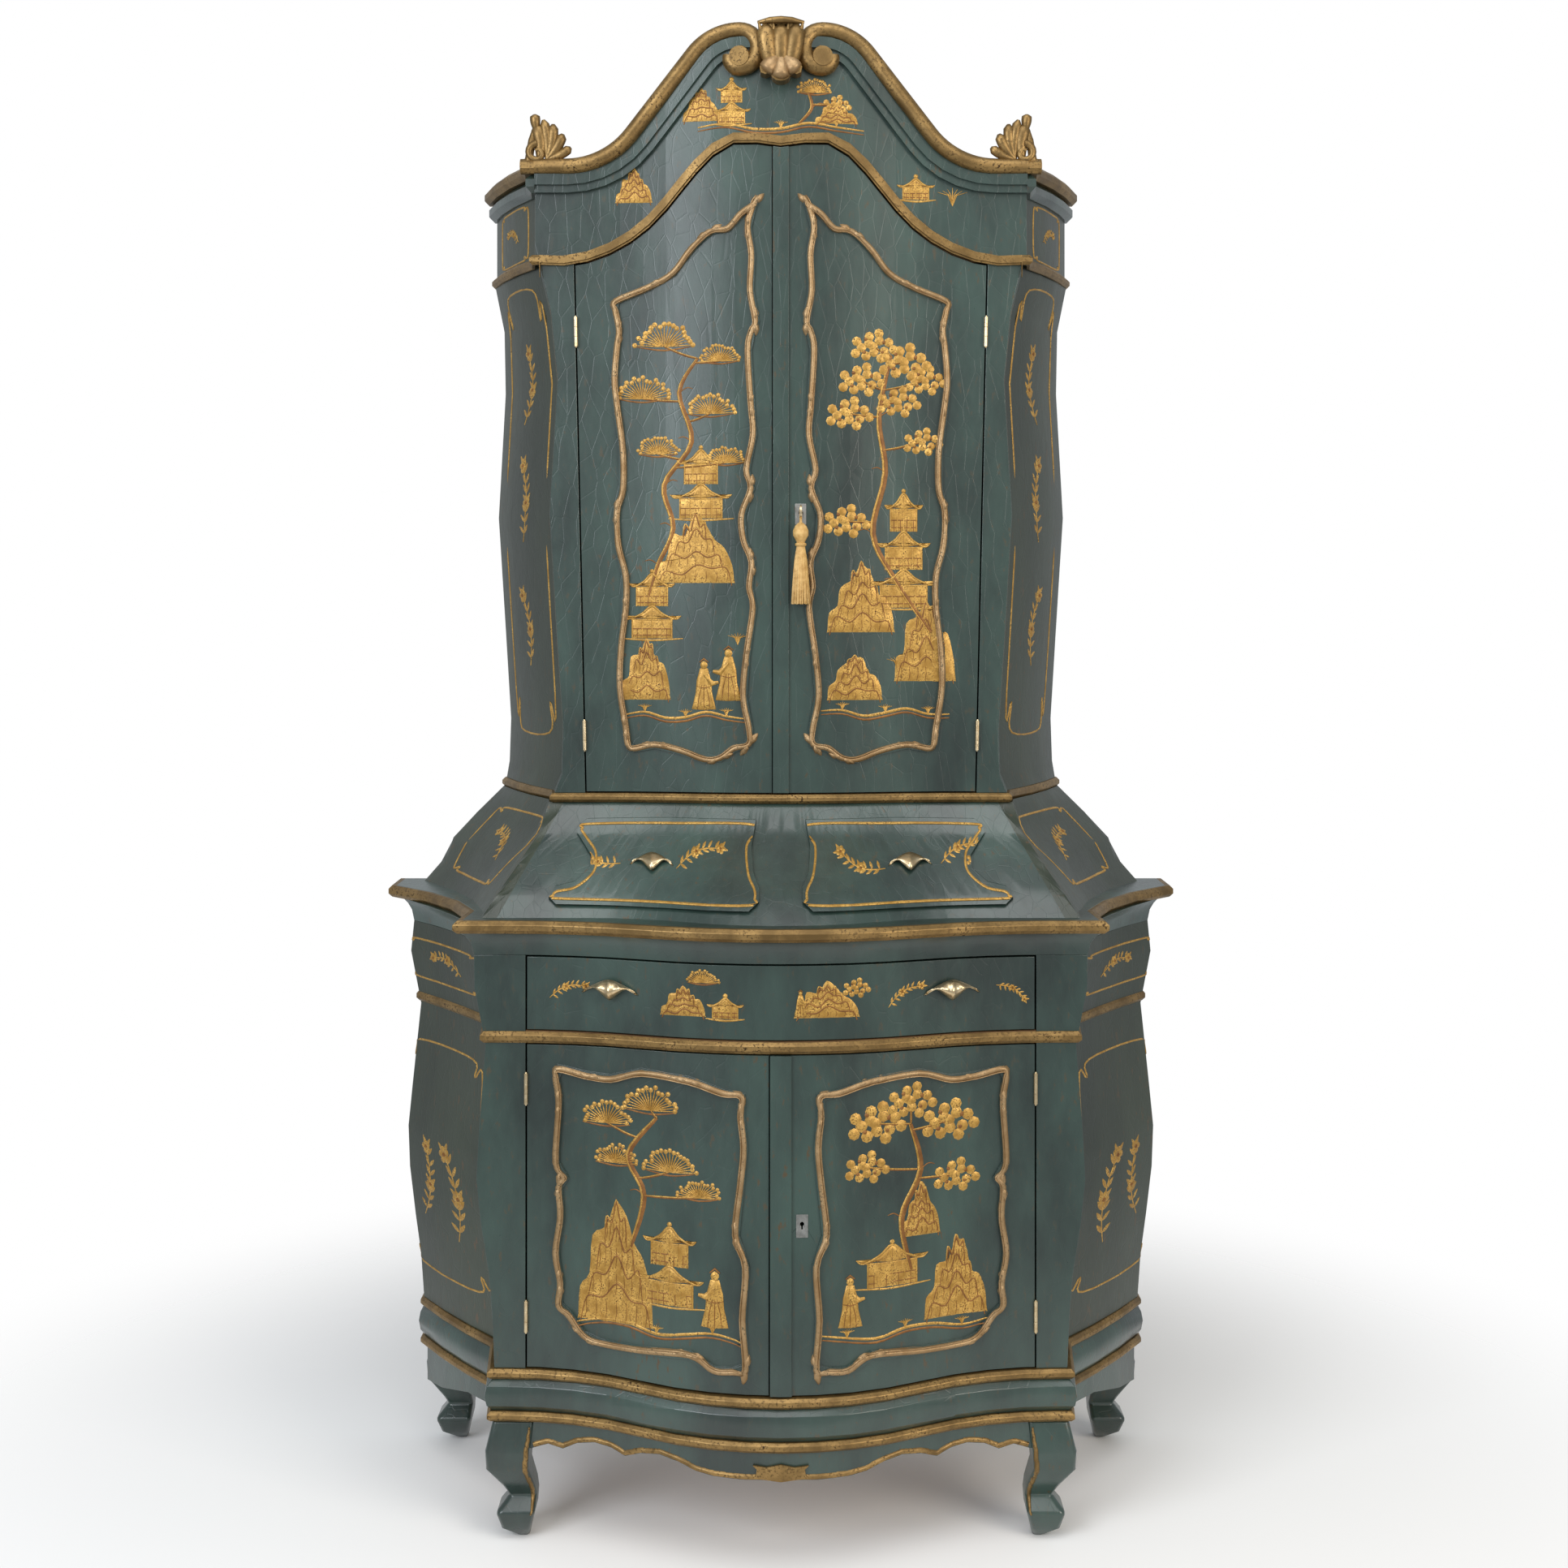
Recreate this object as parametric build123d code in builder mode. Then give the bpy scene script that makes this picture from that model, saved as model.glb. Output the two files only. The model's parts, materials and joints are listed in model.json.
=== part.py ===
from build123d import *
from math import atan2, cos, degrees, hypot, pi, radians, sin, sqrt, tan
import os

# The cabinet stands on the floor plane, faces -Y, and is centred on X and Y.
# Levels are heights above the floor, half widths are measured from the centre plane.

# Overall plan
case_depth = 430
bead_proud = 8
overrun = 60
bow_steps = 4
side_steps = 3
swell_share = 4
least_edge = 4
wall = 20
back_board = 12

# Lower case
leg_height = 194
bead_height = 16
torus_height = 50
torus_proud = 11
cupboard_height = 508
rail_height = 18
drawer_opening = 118.5
cavetto_height = 37.5
ledge_height = 20
lower_corner = 475
lower_bow = 119
lower_run = 430
lower_side = 639
return_depth = 120
return_flare = 12
lower_side_depth = 400
lower_swell = 18
plinth_ring = 60
bead_ring = 12
torus_ring = 30
edge_share = 0.3
cavetto_flare = 18
cavetto_ring = 40
ledge_overhang = 33
ledge_return = 72
ledge_return_flare = -5
edge_width = 14

# Sloped middle part
slope_height = 165
setback = 148
slope_corner = 467
slope_bow = 75
slope_side = 625
slope_return = 60
slope_swell = 20
slope_wall = 24

# Upper case
base_bead_height = 15
upper_spring_height = 869
frieze_side_height = 123
upper_corner = 401
upper_bow = 25
upper_run = 300
upper_side = 504
upper_return = 45
upper_return_flare = 6
upper_side_depth = 415
upper_swell = 8
upper_wall = 18

# Doors and hinges
door_thickness = 22
door_gap = 2.5
meeting_gap = 1.5
hinge_gap = 2.4
lower_opening = 398.2
upper_opening_bottom = 319.2
upper_opening_top = 338
lower_strip_width = 33
upper_strip_width = 26
strip_proud = 5
frame_proud = 4
lower_frame_inner = 47
lower_frame_drop = 28
lower_frame_width = 310
lower_frame_height = 450
lower_frame_band = 12
upper_frame_inner = 31
upper_frame_rise = 59
upper_frame_width = 264
upper_frame_height = 912
upper_frame_band = 11
knuckle_radius = 3.2
pin_radius = 1.5
pin_play = 0.15
leaf_thickness = 1
leaf_depth = 16
knuckle_length = 16
knuckle_play = 0.3
pin_tip = 2
lower_stand = 5.2
upper_stand = 4.4
lower_hinge_heights = [82, 437]
upper_hinge_heights = [94, 752]
touch = 0.3

# Arch over the upper doors and bonnet of the cornice
arch_rise = 196
arch_half = 393
arch_bead = 8
arch_lap = 4
roll_radius = 12
roll_drop = 14
bonnet_rise = 217
bonnet_angle = 52
bonnet_foot_radius = 135
crown_level_radius = 95
bonnet_steps = 5
curl_steps = 9
arch_steps = 24
bonnet_corner = 423
scroll_centre = 67
scroll_radius = 30
scroll_inner_radius = 15
scroll_eye_radius = 16
roll_sides = 6
round_sides = 16
roll_proud = 22
arch_proud = 9
step_share = 0.6
cavetto_band = 30
cavetto_proud = 14
crest_half = 36
crest_height = 96
crest_drop = 4
crest_depth = 34
crest_flute = 5
crest_flute_slope = 20
finial_width = 82
finial_height = 84
finial_depth = 18
finial_inset = 8
volute_share = 0.27
volute_radius = 17
volute_sides = 12
volute_proud = 4

# Boards inside the cases
shelf_thickness = 18
lower_shelf_height = 250
upper_shelf_heights = [290, 580]
tympanum_thickness = 16

# Legs and aprons
leg_width = 68
front_leg_corner = 450
rear_leg_corner = 612
rear_leg_inset = 6
apron_thickness = 22
apron_set = 4
apron_depth = 44
side_apron_depth = 88
cartouche_width = 85
cartouche_height = 26
cartouche_proud = 5

# Long drawer
board = 12
thin_board = 6
front_thickness = 20
drawer_depth = 350
drawer_box_height = 100
drawer_play = 2.5
guide_height = 40
guide_play = 0.5
pull_rise = 68
pull_root = 3
pull_width = 88
pull_height = 30
pull_proud = 26
pull_spread = 530

# Small drawers behind the sloped front
lip_thickness = 7
lip_play = 0.6
slope_box_inner = 70
slope_box_width = 220
slope_box_base = 40
slope_box_height = 88
slope_drawer_depth = 250
slope_aperture_play = 2
small_board = 10
slope_front_inner = 40
slope_front_base = 18
slope_front_height = 124
slope_front_width = 325
small_pull_width = 70
small_pull_height = 24
small_pull_proud = 20
small_pull_offset = 205
small_pull_level = 82

# Locks, key and tassel
lock_width = 64
lock_height = 84
lock_side = 3
lock_front_wall = 5
lock_set = 1
lock_bolt_rise = 9
lock_bolt_height = 18
lock_bolt_thickness = 8
lock_bolt_length = 46
lock_bolt_throw = 14
lock_play = 0.4
keep_width = 22
keep_wall = 6
keyhole_offset = 32
upper_lock_height = 457
lower_lock_height = 256
escutcheon_width = 18
escutcheon_height = 34
escutcheon_thickness = 1.5
key_radius = 2.5
key_hole_radius = 3.2
key_reach = 28
key_bit_length = 7
key_bit_thickness = 1.6
key_bit_width = 5
key_bow_radius = 11
key_bow_thickness = 3
key_bow_inner = 6.5
tassel_length = 136
tassel_radius = 17
tassel_stand = 19.5
tassel_loop_play = 0.4
tassel_cord = 2.8
tassel_drop = 8

# Levels worked out from the heights above
torus_base = leg_height + bead_height
upper_plinth_bead = torus_base + torus_height
lower_floor = upper_plinth_bead + bead_height
dust_level = lower_floor + cupboard_height
drawer_level = dust_level + rail_height
drawer_head = drawer_level + drawer_opening
ledge_level = drawer_head + cavetto_height
slope_level = ledge_level + ledge_height
base_level = slope_level + slope_height
upper_floor = base_level + base_bead_height
spring_level = upper_floor + upper_spring_height
frieze_top = spring_level + frieze_side_height
roll_level = frieze_top + 2 * roll_drop
lower_wall_height = drawer_head - lower_floor

# Planes worked out from the depths above
corner_y = (lower_bow + torus_proud - case_depth) / 2
back_y = corner_y + case_depth
upper_y = corner_y + setback


def plan(level, face, corner, bow, run, wing, wing_y, side, side_y, swell, grow, back):
    """Plan outline: bowed front, straight return, curved side and flat back."""
    half = run / 2
    radius = (half**2 + (bow / 2) ** 2) / bow
    wing_x = wing + grow
    side_x = side + grow
    chord = (side_x - wing_x, side_y - wing_y)
    length = hypot(chord[0], chord[1])
    points = []
    for step in range(bow_steps + 1):
        x = step / bow_steps * half
        points.append((x, face - bow + radius - sqrt(radius**2 - x**2)))
    for step in range(1, bow_steps + 1):
        x = (1 - step / bow_steps) * half
        points.append((run - x, face - radius + sqrt(radius**2 - x**2)))
    points.append((max(corner + grow, run + least_edge), face))
    for step in range(side_steps + 1):
        share = step / side_steps
        bulge = swell * swell_share * share * (1 - share) / length
        x = wing_x + share * chord[0] + bulge * chord[1]
        points.append((x, wing_y + share * chord[1] - bulge * chord[0]))
    points.append((side_x, back))
    with BuildSketch(Plane.XY.offset(level)) as outline:
        with BuildLine():
            Polyline(*points, (0, back))
            mirror(about=Plane.YZ)
        make_face()
    return outline.sketch


# Lower case sections: shares of wall height, corner, bow, side, side depth and swell
lower_section_shares = [
    (0, 0.941, 0.98, 0.958, 0.8, 0.3),
    (0.115, 0.947, 0.95, 0.966, 0.8, 0.3),
    (0.223, 0.958, 0.92, 0.981, 0.8, 0.3),
    (0.348, 0.985, 0.87, 0.996, 0.8, 0.2),
    (0.456, 1.0, 0.82, 1.0, 0.8, 0.1),
    (0.565, 0.992, 0.77, 0.989, 0.8, -0.1),
    (0.782, 0.97, 0.67, 0.966, 0.8, -0.2),
    (0.92, 1.006, 0.67, 0.994, 0.81, -0.3),
    (1, 1.008, 0.68, 0.987, 0.82, -0.4),
]
plinth_shares = (0, 0.947, 1, 0.955, 0.8, 0.3)
ledge_shares = (1, 1.069, 0.69, 1.061, 0.86, -1.3)


def lower_plan(level, shares, grow=0, proud=0, back=back_y, turn=None):
    """Lower case outline at one level, from a row of shares."""
    height, corner, bow, side, depth, swell = shares
    face = corner_y - proud
    deep, flare = turn or (return_depth, return_flare)
    wing = corner * lower_corner + flare
    side_y = corner_y + depth * lower_side_depth
    return plan(
        level,
        face,
        corner * lower_corner,
        bow * lower_bow,
        lower_run,
        wing,
        corner_y + deep,
        side * lower_side,
        side_y,
        swell * lower_swell,
        grow,
        back,
    )


def lower_sections(grow=0, proud=0, back=back_y):
    """Outlines of the lower case from floor board to drawer head."""
    sections = []
    for shares in lower_section_shares:
        level = lower_floor + shares[0] * lower_wall_height
        sections.append(lower_plan(level, shares, grow, proud, back))
    return sections


# Slope sections: shares of height, setback, corner, bow, side and swell
slope_section_shares = [
    (0, 0, 1, 1, 1, -1),
    (0.2, 0.17, 0.955, 0.86, 0.954, -0.7),
    (0.455, 0.47, 0.895, 0.67, 0.921, -0.3),
    (0.72, 0.79, 0.836, 0.46, 0.856, 0),
    (1, 1, 0.81, 0.333, 0.781, 0.3),
]


def slope_sections(grow=0, proud=0, back=back_y):
    """Outlines of the sloped part from the ledge to the base of the upper case."""
    sections = []
    for height, back_share, corner, bow, side, swell in slope_section_shares:
        face = corner_y + back_share * setback
        depth = lower_side_depth + height * (upper_side_depth - lower_side_depth)
        turn = slope_return + height * (upper_return - slope_return)
        outline = plan(
            slope_level + height * slope_height,
            face - proud,
            corner * slope_corner,
            bow * slope_bow,
            upper_run,
            corner * slope_corner + upper_return_flare,
            face + turn,
            side * slope_side,
            corner_y + depth,
            swell * slope_swell,
            grow,
            back,
        )
        sections.append(outline)
    return sections


# Upper case sections: shares of wall height, corner and side
upper_section_shares = [
    (0, 0.92, 0.958),
    (0.034, 0.89, 0.948),
    (0.12, 0.885, 0.943),
    (0.293, 0.91, 0.961),
    (0.525, 0.94, 0.986),
    (0.776, 0.908, 0.962),
    (0.902, 0.935, 0.966),
    (1, 0.985, 1),
]
frieze_shares = (1, 0.992)


def upper_plan(level, corner, side, grow=0, proud=0, back=back_y):
    """Upper case outline at one level."""
    return plan(
        level,
        upper_y - proud,
        corner * upper_corner,
        upper_bow,
        upper_run,
        corner * upper_corner + upper_return_flare,
        upper_y + upper_return,
        side * upper_side,
        corner_y + upper_side_depth,
        upper_swell,
        grow,
        back,
    )


def upper_sections(grow=0, proud=0, back=back_y):
    """Outlines of the upper case from its floor to the springing of the arch."""
    sections = []
    for height, corner, side in upper_section_shares:
        level = upper_floor + height * upper_spring_height
        sections.append(upper_plan(level, corner, side, grow, proud, back))
    return sections


def block(x_low, x_high, y_low, y_high, z_low, z_high):
    """Block between two corners."""
    centre = ((x_low + x_high) / 2, (y_low + y_high) / 2, (z_low + z_high) / 2)
    solid = Box(x_high - x_low, y_high - y_low, z_high - z_low, mode=Mode.PRIVATE)
    return solid.moved(Location(centre))


# Forms that the pieces are cut from
with BuildPart() as lower_form:
    loft(lower_sections(), ruled=True)

with BuildPart() as lower_core:
    loft(lower_sections(-wall, 0, back_y + overrun), ruled=True)

with BuildPart() as slope_form:
    loft(slope_sections(), ruled=True)

with BuildPart() as slope_core:
    loft(slope_sections(-wall, -slope_wall, back_y + overrun), ruled=True)

with BuildPart() as upper_form:
    loft(upper_sections(), ruled=True)

with BuildPart() as upper_core:
    loft(upper_sections(-upper_wall, 0, back_y + overrun), ruled=True)

# Straight continuation of the upper case behind the frieze and bonnet
frieze_low = spring_level - 2 * roll_drop
crown_level = roll_level + bonnet_rise
with BuildPart() as frieze_form:
    add(upper_plan(frieze_low, *frieze_shares))
    extrude(amount=crown_level + 2 * roll_radius - frieze_low)

with BuildPart() as frieze_core:
    add(upper_plan(frieze_low, *frieze_shares, -upper_wall, 0, back_y + overrun))
    extrude(amount=crown_level + 2 * roll_radius - frieze_low)


def ring(outer, inner, height):
    """Moulding with eased edges that runs round the front and sides."""
    with BuildPart() as moulding:
        add(outer)
        extrude(amount=height)
        eased = [edge for edge in moulding.edges() if edge.center().Y < back_y - touch]
        eased = [edge for edge in eased if edge.bounding_box().size.Z < touch]
        chamfer(eased, height * edge_share)
        add(inner)
        extrude(amount=height, mode=Mode.SUBTRACT)
    return moulding.part


def prism(outline):
    """Block with an outline drawn on the front plane, deeper than the case."""
    with BuildPart() as deep:
        with Locations((0, case_depth, 0)):
            add(outline)
        extrude(amount=2 * case_depth, dir=(0, -1, 0))
    return deep.part


def front_board(form, thickness, outline):
    """Board with a front outline that follows the front of a form."""
    with BuildPart() as piece:
        add(form)
        with Locations((0, thickness, 0)):
            add(form, mode=Mode.SUBTRACT)
        add(prism(outline), mode=Mode.INTERSECT)
    return piece.part


def front_skin(form, proud, outline, start=0):
    """Layer with a front outline that lies on the front of a form."""
    with BuildPart() as piece:
        with Locations((0, -proud, 0)):
            add(form)
        with Locations((0, -start, 0)):
            add(form, mode=Mode.SUBTRACT)
        add(prism(outline), mode=Mode.INTERSECT)
    return piece.part


def polygon(points):
    """Straight-sided outline on the front plane."""
    with BuildSketch(Plane.XZ) as outline:
        with BuildLine():
            Polyline(*points, close=True)
        make_face()
    return outline.sketch


def rectangle(x_low, x_high, z_low, z_high):
    """Upright rectangle on the front plane."""
    return polygon([(x_low, z_low), (x_high, z_low), (x_high, z_high), (x_low, z_high)])


def mirrored(solid):
    """The same solid on the other side of the centre plane."""
    return solid.mirror(Plane.YZ)


os.makedirs("parts", exist_ok=True)

# Plinth: two gilt beads with a green torus between them
lower_bead = ring(
    lower_plan(leg_height, plinth_shares, bead_proud, bead_proud),
    lower_plan(leg_height, plinth_shares, -plinth_ring, -plinth_ring, back_y + overrun),
    bead_height,
)
upper_bead = ring(
    lower_plan(upper_plinth_bead, plinth_shares, bead_proud, bead_proud),
    lower_plan(upper_plinth_bead, plinth_shares, -bead_ring, -bead_ring, back_y + overrun),
    bead_height,
)
with BuildPart() as plinth_beads:
    add([lower_bead, upper_bead])
plinth_beads.part.label = "plinth_beads"
export_step(plinth_beads.part, "parts/plinth_beads.step")

torus_shares = [(0, 0), (0.2, 0.75), (0.5, 1), (0.8, 0.75), (1, 0)]
with BuildPart() as plinth_torus:
    torus_sections = []
    for rise, swell in torus_shares:
        level = torus_base + rise * torus_height
        proud = swell * torus_proud
        torus_sections.append(lower_plan(level, plinth_shares, proud, proud))
    loft(torus_sections, ruled=True)
    add(lower_plan(torus_base, plinth_shares, -torus_ring, -torus_ring, back_y + overrun))
    extrude(amount=torus_height, mode=Mode.SUBTRACT)
plinth_torus.part.label = "plinth_torus"
export_step(plinth_torus.part, "parts/plinth_torus.step")

# Legs: shares of leg height, then outer and inner inset as shares of leg width
leg_section_shares = [
    (1, 0.12, 1.06),
    (0.77, -0.04, 0.97),
    (0.62, -0.02, 0.94),
    (0.44, 0.32, 1.06),
    (0.35, 0.46, 1.09),
    (0.24, 0.18, 1.07),
    (0.1, 0.3, 0.97),
    (0, 0.62, 0.91),
]


def leg(corner, front, swing):
    """Cabriole leg with a scroll foot on the +X side, sawn to one outline each way."""
    outer_line = []
    inner_line = []
    front_line = []
    back_line = []
    for height, outer, inner in leg_section_shares:
        level = height * leg_height
        size = (inner - outer) * leg_width
        near = front + swing * outer * leg_width
        if swing == 0:
            near = front - size
        outer_line.append((corner - outer * leg_width, level))
        inner_line.append((corner - inner * leg_width, level))
        front_line.append((near, level))
        back_line.append((near + size, level))
    with BuildPart() as solid:
        add(prism(polygon(outer_line + inner_line[::-1])))
        with BuildSketch(Plane.YZ):
            with BuildLine():
                Polyline(*front_line, *back_line[::-1], close=True)
            make_face()
        extrude(amount=lower_side, mode=Mode.INTERSECT)
    return solid.part


front_leg = leg(front_leg_corner + bead_proud, corner_y - bead_proud, 1)
rear_leg = leg(rear_leg_corner, back_y - rear_leg_inset, 0)
with BuildPart() as legs:
    add([front_leg, rear_leg, mirrored(front_leg), mirrored(rear_leg)])
legs.part.label = "legs"
export_step(legs.part, "parts/legs.step")

# Aprons: scalloped boards between the legs. Shares of half width and apron depth
apron_shares = [
    (0, 0.97),
    (0.16, 1),
    (0.26, 0.96),
    (0.333, 0.86),
    (0.4, 0.63),
    (0.475, 0.52),
    (0.55, 0.62),
    (0.615, 0.84),
    (0.67, 0.66),
    (0.74, 0.57),
    (0.81, 0.68),
    (0.87, 0.93),
    (0.93, 0.8),
    (1, 1),
]
apron_half = front_leg_corner - leg_width + bead_proud
apron_low = leg_height - 2 * apron_depth
with BuildSketch(Plane.XZ) as apron_scallops:
    with BuildLine():
        Polyline(
            *[(x * apron_half, leg_height - z * apron_depth) for x, z in apron_shares],
            (apron_half + leg_width / 2, leg_height - apron_depth),
            (apron_half + leg_width / 2, leg_height),
            (0, leg_height),
        )
        mirror(about=Plane.YZ)
    make_face()

with BuildPart() as apron_block:
    add(lower_plan(apron_low, plinth_shares, -apron_set, -apron_set))
    extrude(amount=leg_height - apron_low)

front_apron = front_board(apron_block.part, apron_thickness, apron_scallops.sketch)

# Side apron edge: shares of run behind the corner and of side apron depth
side_apron_shares = [(0, 0.5), (0.2, 0.33), (0.4, 0.36), (0.6, 0.62), (0.8, 0.72), (0.92, 0.84), (1, 1)]
side_apron_y = corner_y + leg_width / 2
side_run = back_y - side_apron_y
with BuildSketch(Plane.YZ) as side_scallops:
    with BuildLine():
        across = [side_apron_y + y * side_run for y, z in side_apron_shares]
        up = [leg_height - z * side_apron_depth for y, z in side_apron_shares]
        Polyline(*zip(across, up), (back_y, leg_height), (side_apron_y, leg_height), close=True)
    make_face()

with BuildPart() as side_apron_pair:
    add(lower_plan(leg_height - side_apron_depth, plinth_shares, -apron_set, 0))
    extrude(amount=side_apron_depth)
    inner_grow = -apron_set - apron_thickness
    side_apron_low = leg_height - side_apron_depth
    add(lower_plan(side_apron_low, plinth_shares, inner_grow, lower_bow, back_y + overrun))
    extrude(amount=side_apron_depth, mode=Mode.SUBTRACT)
    with Locations((-lower_side, 0, 0)):
        add(side_scallops.sketch)
    extrude(amount=2 * lower_side, dir=(1, 0, 0), mode=Mode.INTERSECT)

with BuildPart() as aprons:
    add([front_apron, side_apron_pair.part])
    add(legs.part, mode=Mode.SUBTRACT)
aprons.part.label = "aprons"
export_step(aprons.part, "parts/aprons.step")

cartouche_low = leg_height - apron_depth
cartouche_shares = [(0, 0), (0.5, 0.1), (1, 0.16), (0.88, 0.35), (0.86, 0.7), (1, 0.92), (0.5, 0.82), (0, 1)]
with BuildSketch(Plane.XZ) as cartouche_outline:
    with BuildLine():
        across = [x * cartouche_width / 2 for x, z in cartouche_shares]
        up = [cartouche_low + z * cartouche_height for x, z in cartouche_shares]
        Polyline(*zip(across, up))
        mirror(about=Plane.YZ)
    make_face()

cartouche = front_skin(apron_block.part, cartouche_proud, cartouche_outline.sketch)
with BuildPart() as apron_cartouche:
    add(cartouche)
apron_cartouche.part.label = "apron_cartouche"
export_step(apron_cartouche.part, "parts/apron_cartouche.step")

# Floor boards of both cases
with BuildPart() as lower_board:
    add(lower_plan(upper_plinth_bead, plinth_shares, -bead_ring, -bead_ring))
    extrude(amount=bead_height)

base_shares = (upper_section_shares[0][1], upper_section_shares[0][2])
with BuildPart() as upper_board:
    add(upper_plan(base_level, *base_shares, -bead_ring, -bead_ring))
    extrude(amount=base_bead_height)

with BuildPart() as floor_boards:
    add([lower_board.part, upper_board.part])
floor_boards.part.label = "floor_boards"
export_step(floor_boards.part, "parts/floor_boards.step")

# Lower pilasters: solid carved posts in front of the side panels
pilaster_back = corner_y + return_depth
post_zone = block(lower_opening, lower_side, -case_depth, pilaster_back, lower_floor, drawer_head)
with BuildPart() as lower_post:
    add(lower_form.part)
    add(post_zone, mode=Mode.INTERSECT)

with BuildPart() as lower_pilasters:
    add([lower_post.part, mirrored(lower_post.part)])
lower_pilasters.part.label = "lower_pilasters"
export_step(lower_pilasters.part, "parts/lower_pilasters.step")

# Lower side panels, swelling outward, and the back panel between them
side_zone = block(0, 2 * lower_side, pilaster_back, back_y, lower_floor, drawer_head)
with BuildPart() as lower_side_right:
    add(lower_form.part)
    add(side_zone, mode=Mode.INTERSECT)
    add(lower_core.part, mode=Mode.SUBTRACT)
lower_side_right.part.label = "lower_side_right"
export_step(lower_side_right.part, "parts/lower_side_right.step")

with BuildPart() as lower_side_left:
    add(mirrored(lower_side_right.part))
lower_side_left.part.label = "lower_side_left"
export_step(lower_side_left.part, "parts/lower_side_left.step")

inner_back = back_y - back_board
back_zone = block(-lower_side, lower_side, inner_back, back_y, lower_floor, drawer_head)
head_shares = lower_section_shares[-1]
with BuildPart() as head_core:
    add(lower_plan(drawer_head, head_shares, -cavetto_ring, -cavetto_ring, back_y + overrun))
    extrude(amount=cavetto_height)
    head_zone = block(-lower_side, lower_side, inner_back, back_y, drawer_head, ledge_level)
    add(head_zone, mode=Mode.INTERSECT)

with BuildPart() as lower_back_panel:
    add(lower_core.part)
    add(back_zone, mode=Mode.INTERSECT)
    add(head_core.part)
lower_back_panel.part.label = "lower_back_panel"
export_step(lower_back_panel.part, "parts/lower_back_panel.step")

# Dust board under the long drawer, notched round the pilasters
dust_zone = block(-lower_side, lower_side, -case_depth, inner_back, dust_level, drawer_level)
with BuildPart() as dust_board:
    add(lower_core.part)
    add(dust_zone, mode=Mode.INTERSECT)
    add(lower_pilasters.part, mode=Mode.SUBTRACT)
dust_board.part.label = "dust_board"
export_step(dust_board.part, "parts/dust_board.step")

# Shelves of both cupboards, behind the closed doors
shelf_front = corner_y + door_thickness + door_gap
lower_shelf_level = lower_floor + lower_shelf_height
lower_shelf_top = lower_shelf_level + shelf_thickness
lower_shelf_zone = block(
    -lower_side, lower_side, shelf_front, inner_back, lower_shelf_level, lower_shelf_top
)
with BuildPart() as lower_shelf:
    add(lower_core.part)
    add(lower_shelf_zone, mode=Mode.INTERSECT)
    add(lower_pilasters.part, mode=Mode.SUBTRACT)

# Gilt band between the doors and the long drawer
band_shares = lower_section_shares[6]
band_inner = lower_plan(dust_level, band_shares, -bead_ring, -bead_ring, back_y + overrun)
band_ring = ring(lower_plan(dust_level, band_shares, bead_proud, bead_proud), band_inner, rail_height)
with BuildPart() as drawer_band:
    add(band_ring)
    add(lower_form.part, mode=Mode.SUBTRACT)
drawer_band.part.label = "drawer_band"
export_step(drawer_band.part, "parts/drawer_band.step")

# Cavetto under the ledge
cavetto_rise_shares = [(0, 0), (0.5, 0.22), (0.8, 0.6), (1, 1)]
with BuildPart() as ledge_cavetto:
    cavetto_sections = []
    for rise, flare in cavetto_rise_shares:
        turn = (return_depth + flare * (ledge_return - return_depth), return_flare * (1 - flare))
        grow = flare * cavetto_flare
        level = drawer_head + rise * cavetto_height
        outline = lower_plan(level, head_shares, grow, grow, back_y, turn)
        cavetto_sections.append(outline)
    loft(cavetto_sections, ruled=True)
    add(lower_plan(drawer_head, head_shares, -cavetto_ring, -cavetto_ring, back_y + overrun))
    extrude(amount=cavetto_height, mode=Mode.SUBTRACT)
ledge_cavetto.part.label = "ledge_cavetto"
export_step(ledge_cavetto.part, "parts/ledge_cavetto.step")

# Ledge: top board of the lower case with a gilt edge
ledge_turn = (ledge_return, ledge_return_flare)
with BuildPart() as ledge_board:
    add(lower_plan(ledge_level, ledge_shares, -edge_width, ledge_overhang - edge_width, back_y, ledge_turn))
    extrude(amount=ledge_height)
ledge_board.part.label = "ledge_board"
export_step(ledge_board.part, "parts/ledge_board.step")

edge_inner = lower_plan(
    ledge_level, ledge_shares, -edge_width, ledge_overhang - edge_width, back_y + overrun, ledge_turn
)
edge_outer = lower_plan(ledge_level, ledge_shares, 0, ledge_overhang, back_y, ledge_turn)
edge_ring = ring(edge_outer, edge_inner, ledge_height)
with BuildPart() as ledge_edge:
    add(edge_ring)
ledge_edge.part.label = "ledge_edge"
export_step(ledge_edge.part, "parts/ledge_edge.step")

# Sloped part: a front board with two openings and two side boards
cut_margin = slope_wall
foot_half = slope_corner - cut_margin
top_half = slope_section_shares[-1][2] * slope_corner - cut_margin
front_zone = prism(
    polygon(
        [
            (-foot_half, slope_level),
            (foot_half, slope_level),
            (top_half, base_level),
            (-top_half, base_level),
        ]
    )
)
box_base = slope_level + slope_box_base
aperture_low = box_base - slope_aperture_play
aperture_high = box_base + slope_box_height + slope_aperture_play
aperture_inner = slope_box_inner - slope_aperture_play
aperture_outer = slope_box_inner + slope_box_width + slope_aperture_play
aperture = block(aperture_inner, aperture_outer, -case_depth, back_y, aperture_low, aperture_high)
with BuildPart() as slope_shell:
    add(slope_form.part)
    add(slope_core.part, mode=Mode.SUBTRACT)

with BuildPart() as slope_front:
    add(slope_shell.part)
    add(front_zone, mode=Mode.INTERSECT)
    add([aperture, mirrored(aperture)], mode=Mode.SUBTRACT)
slope_front.part.label = "slope_front"
export_step(slope_front.part, "parts/slope_front.step")

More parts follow.
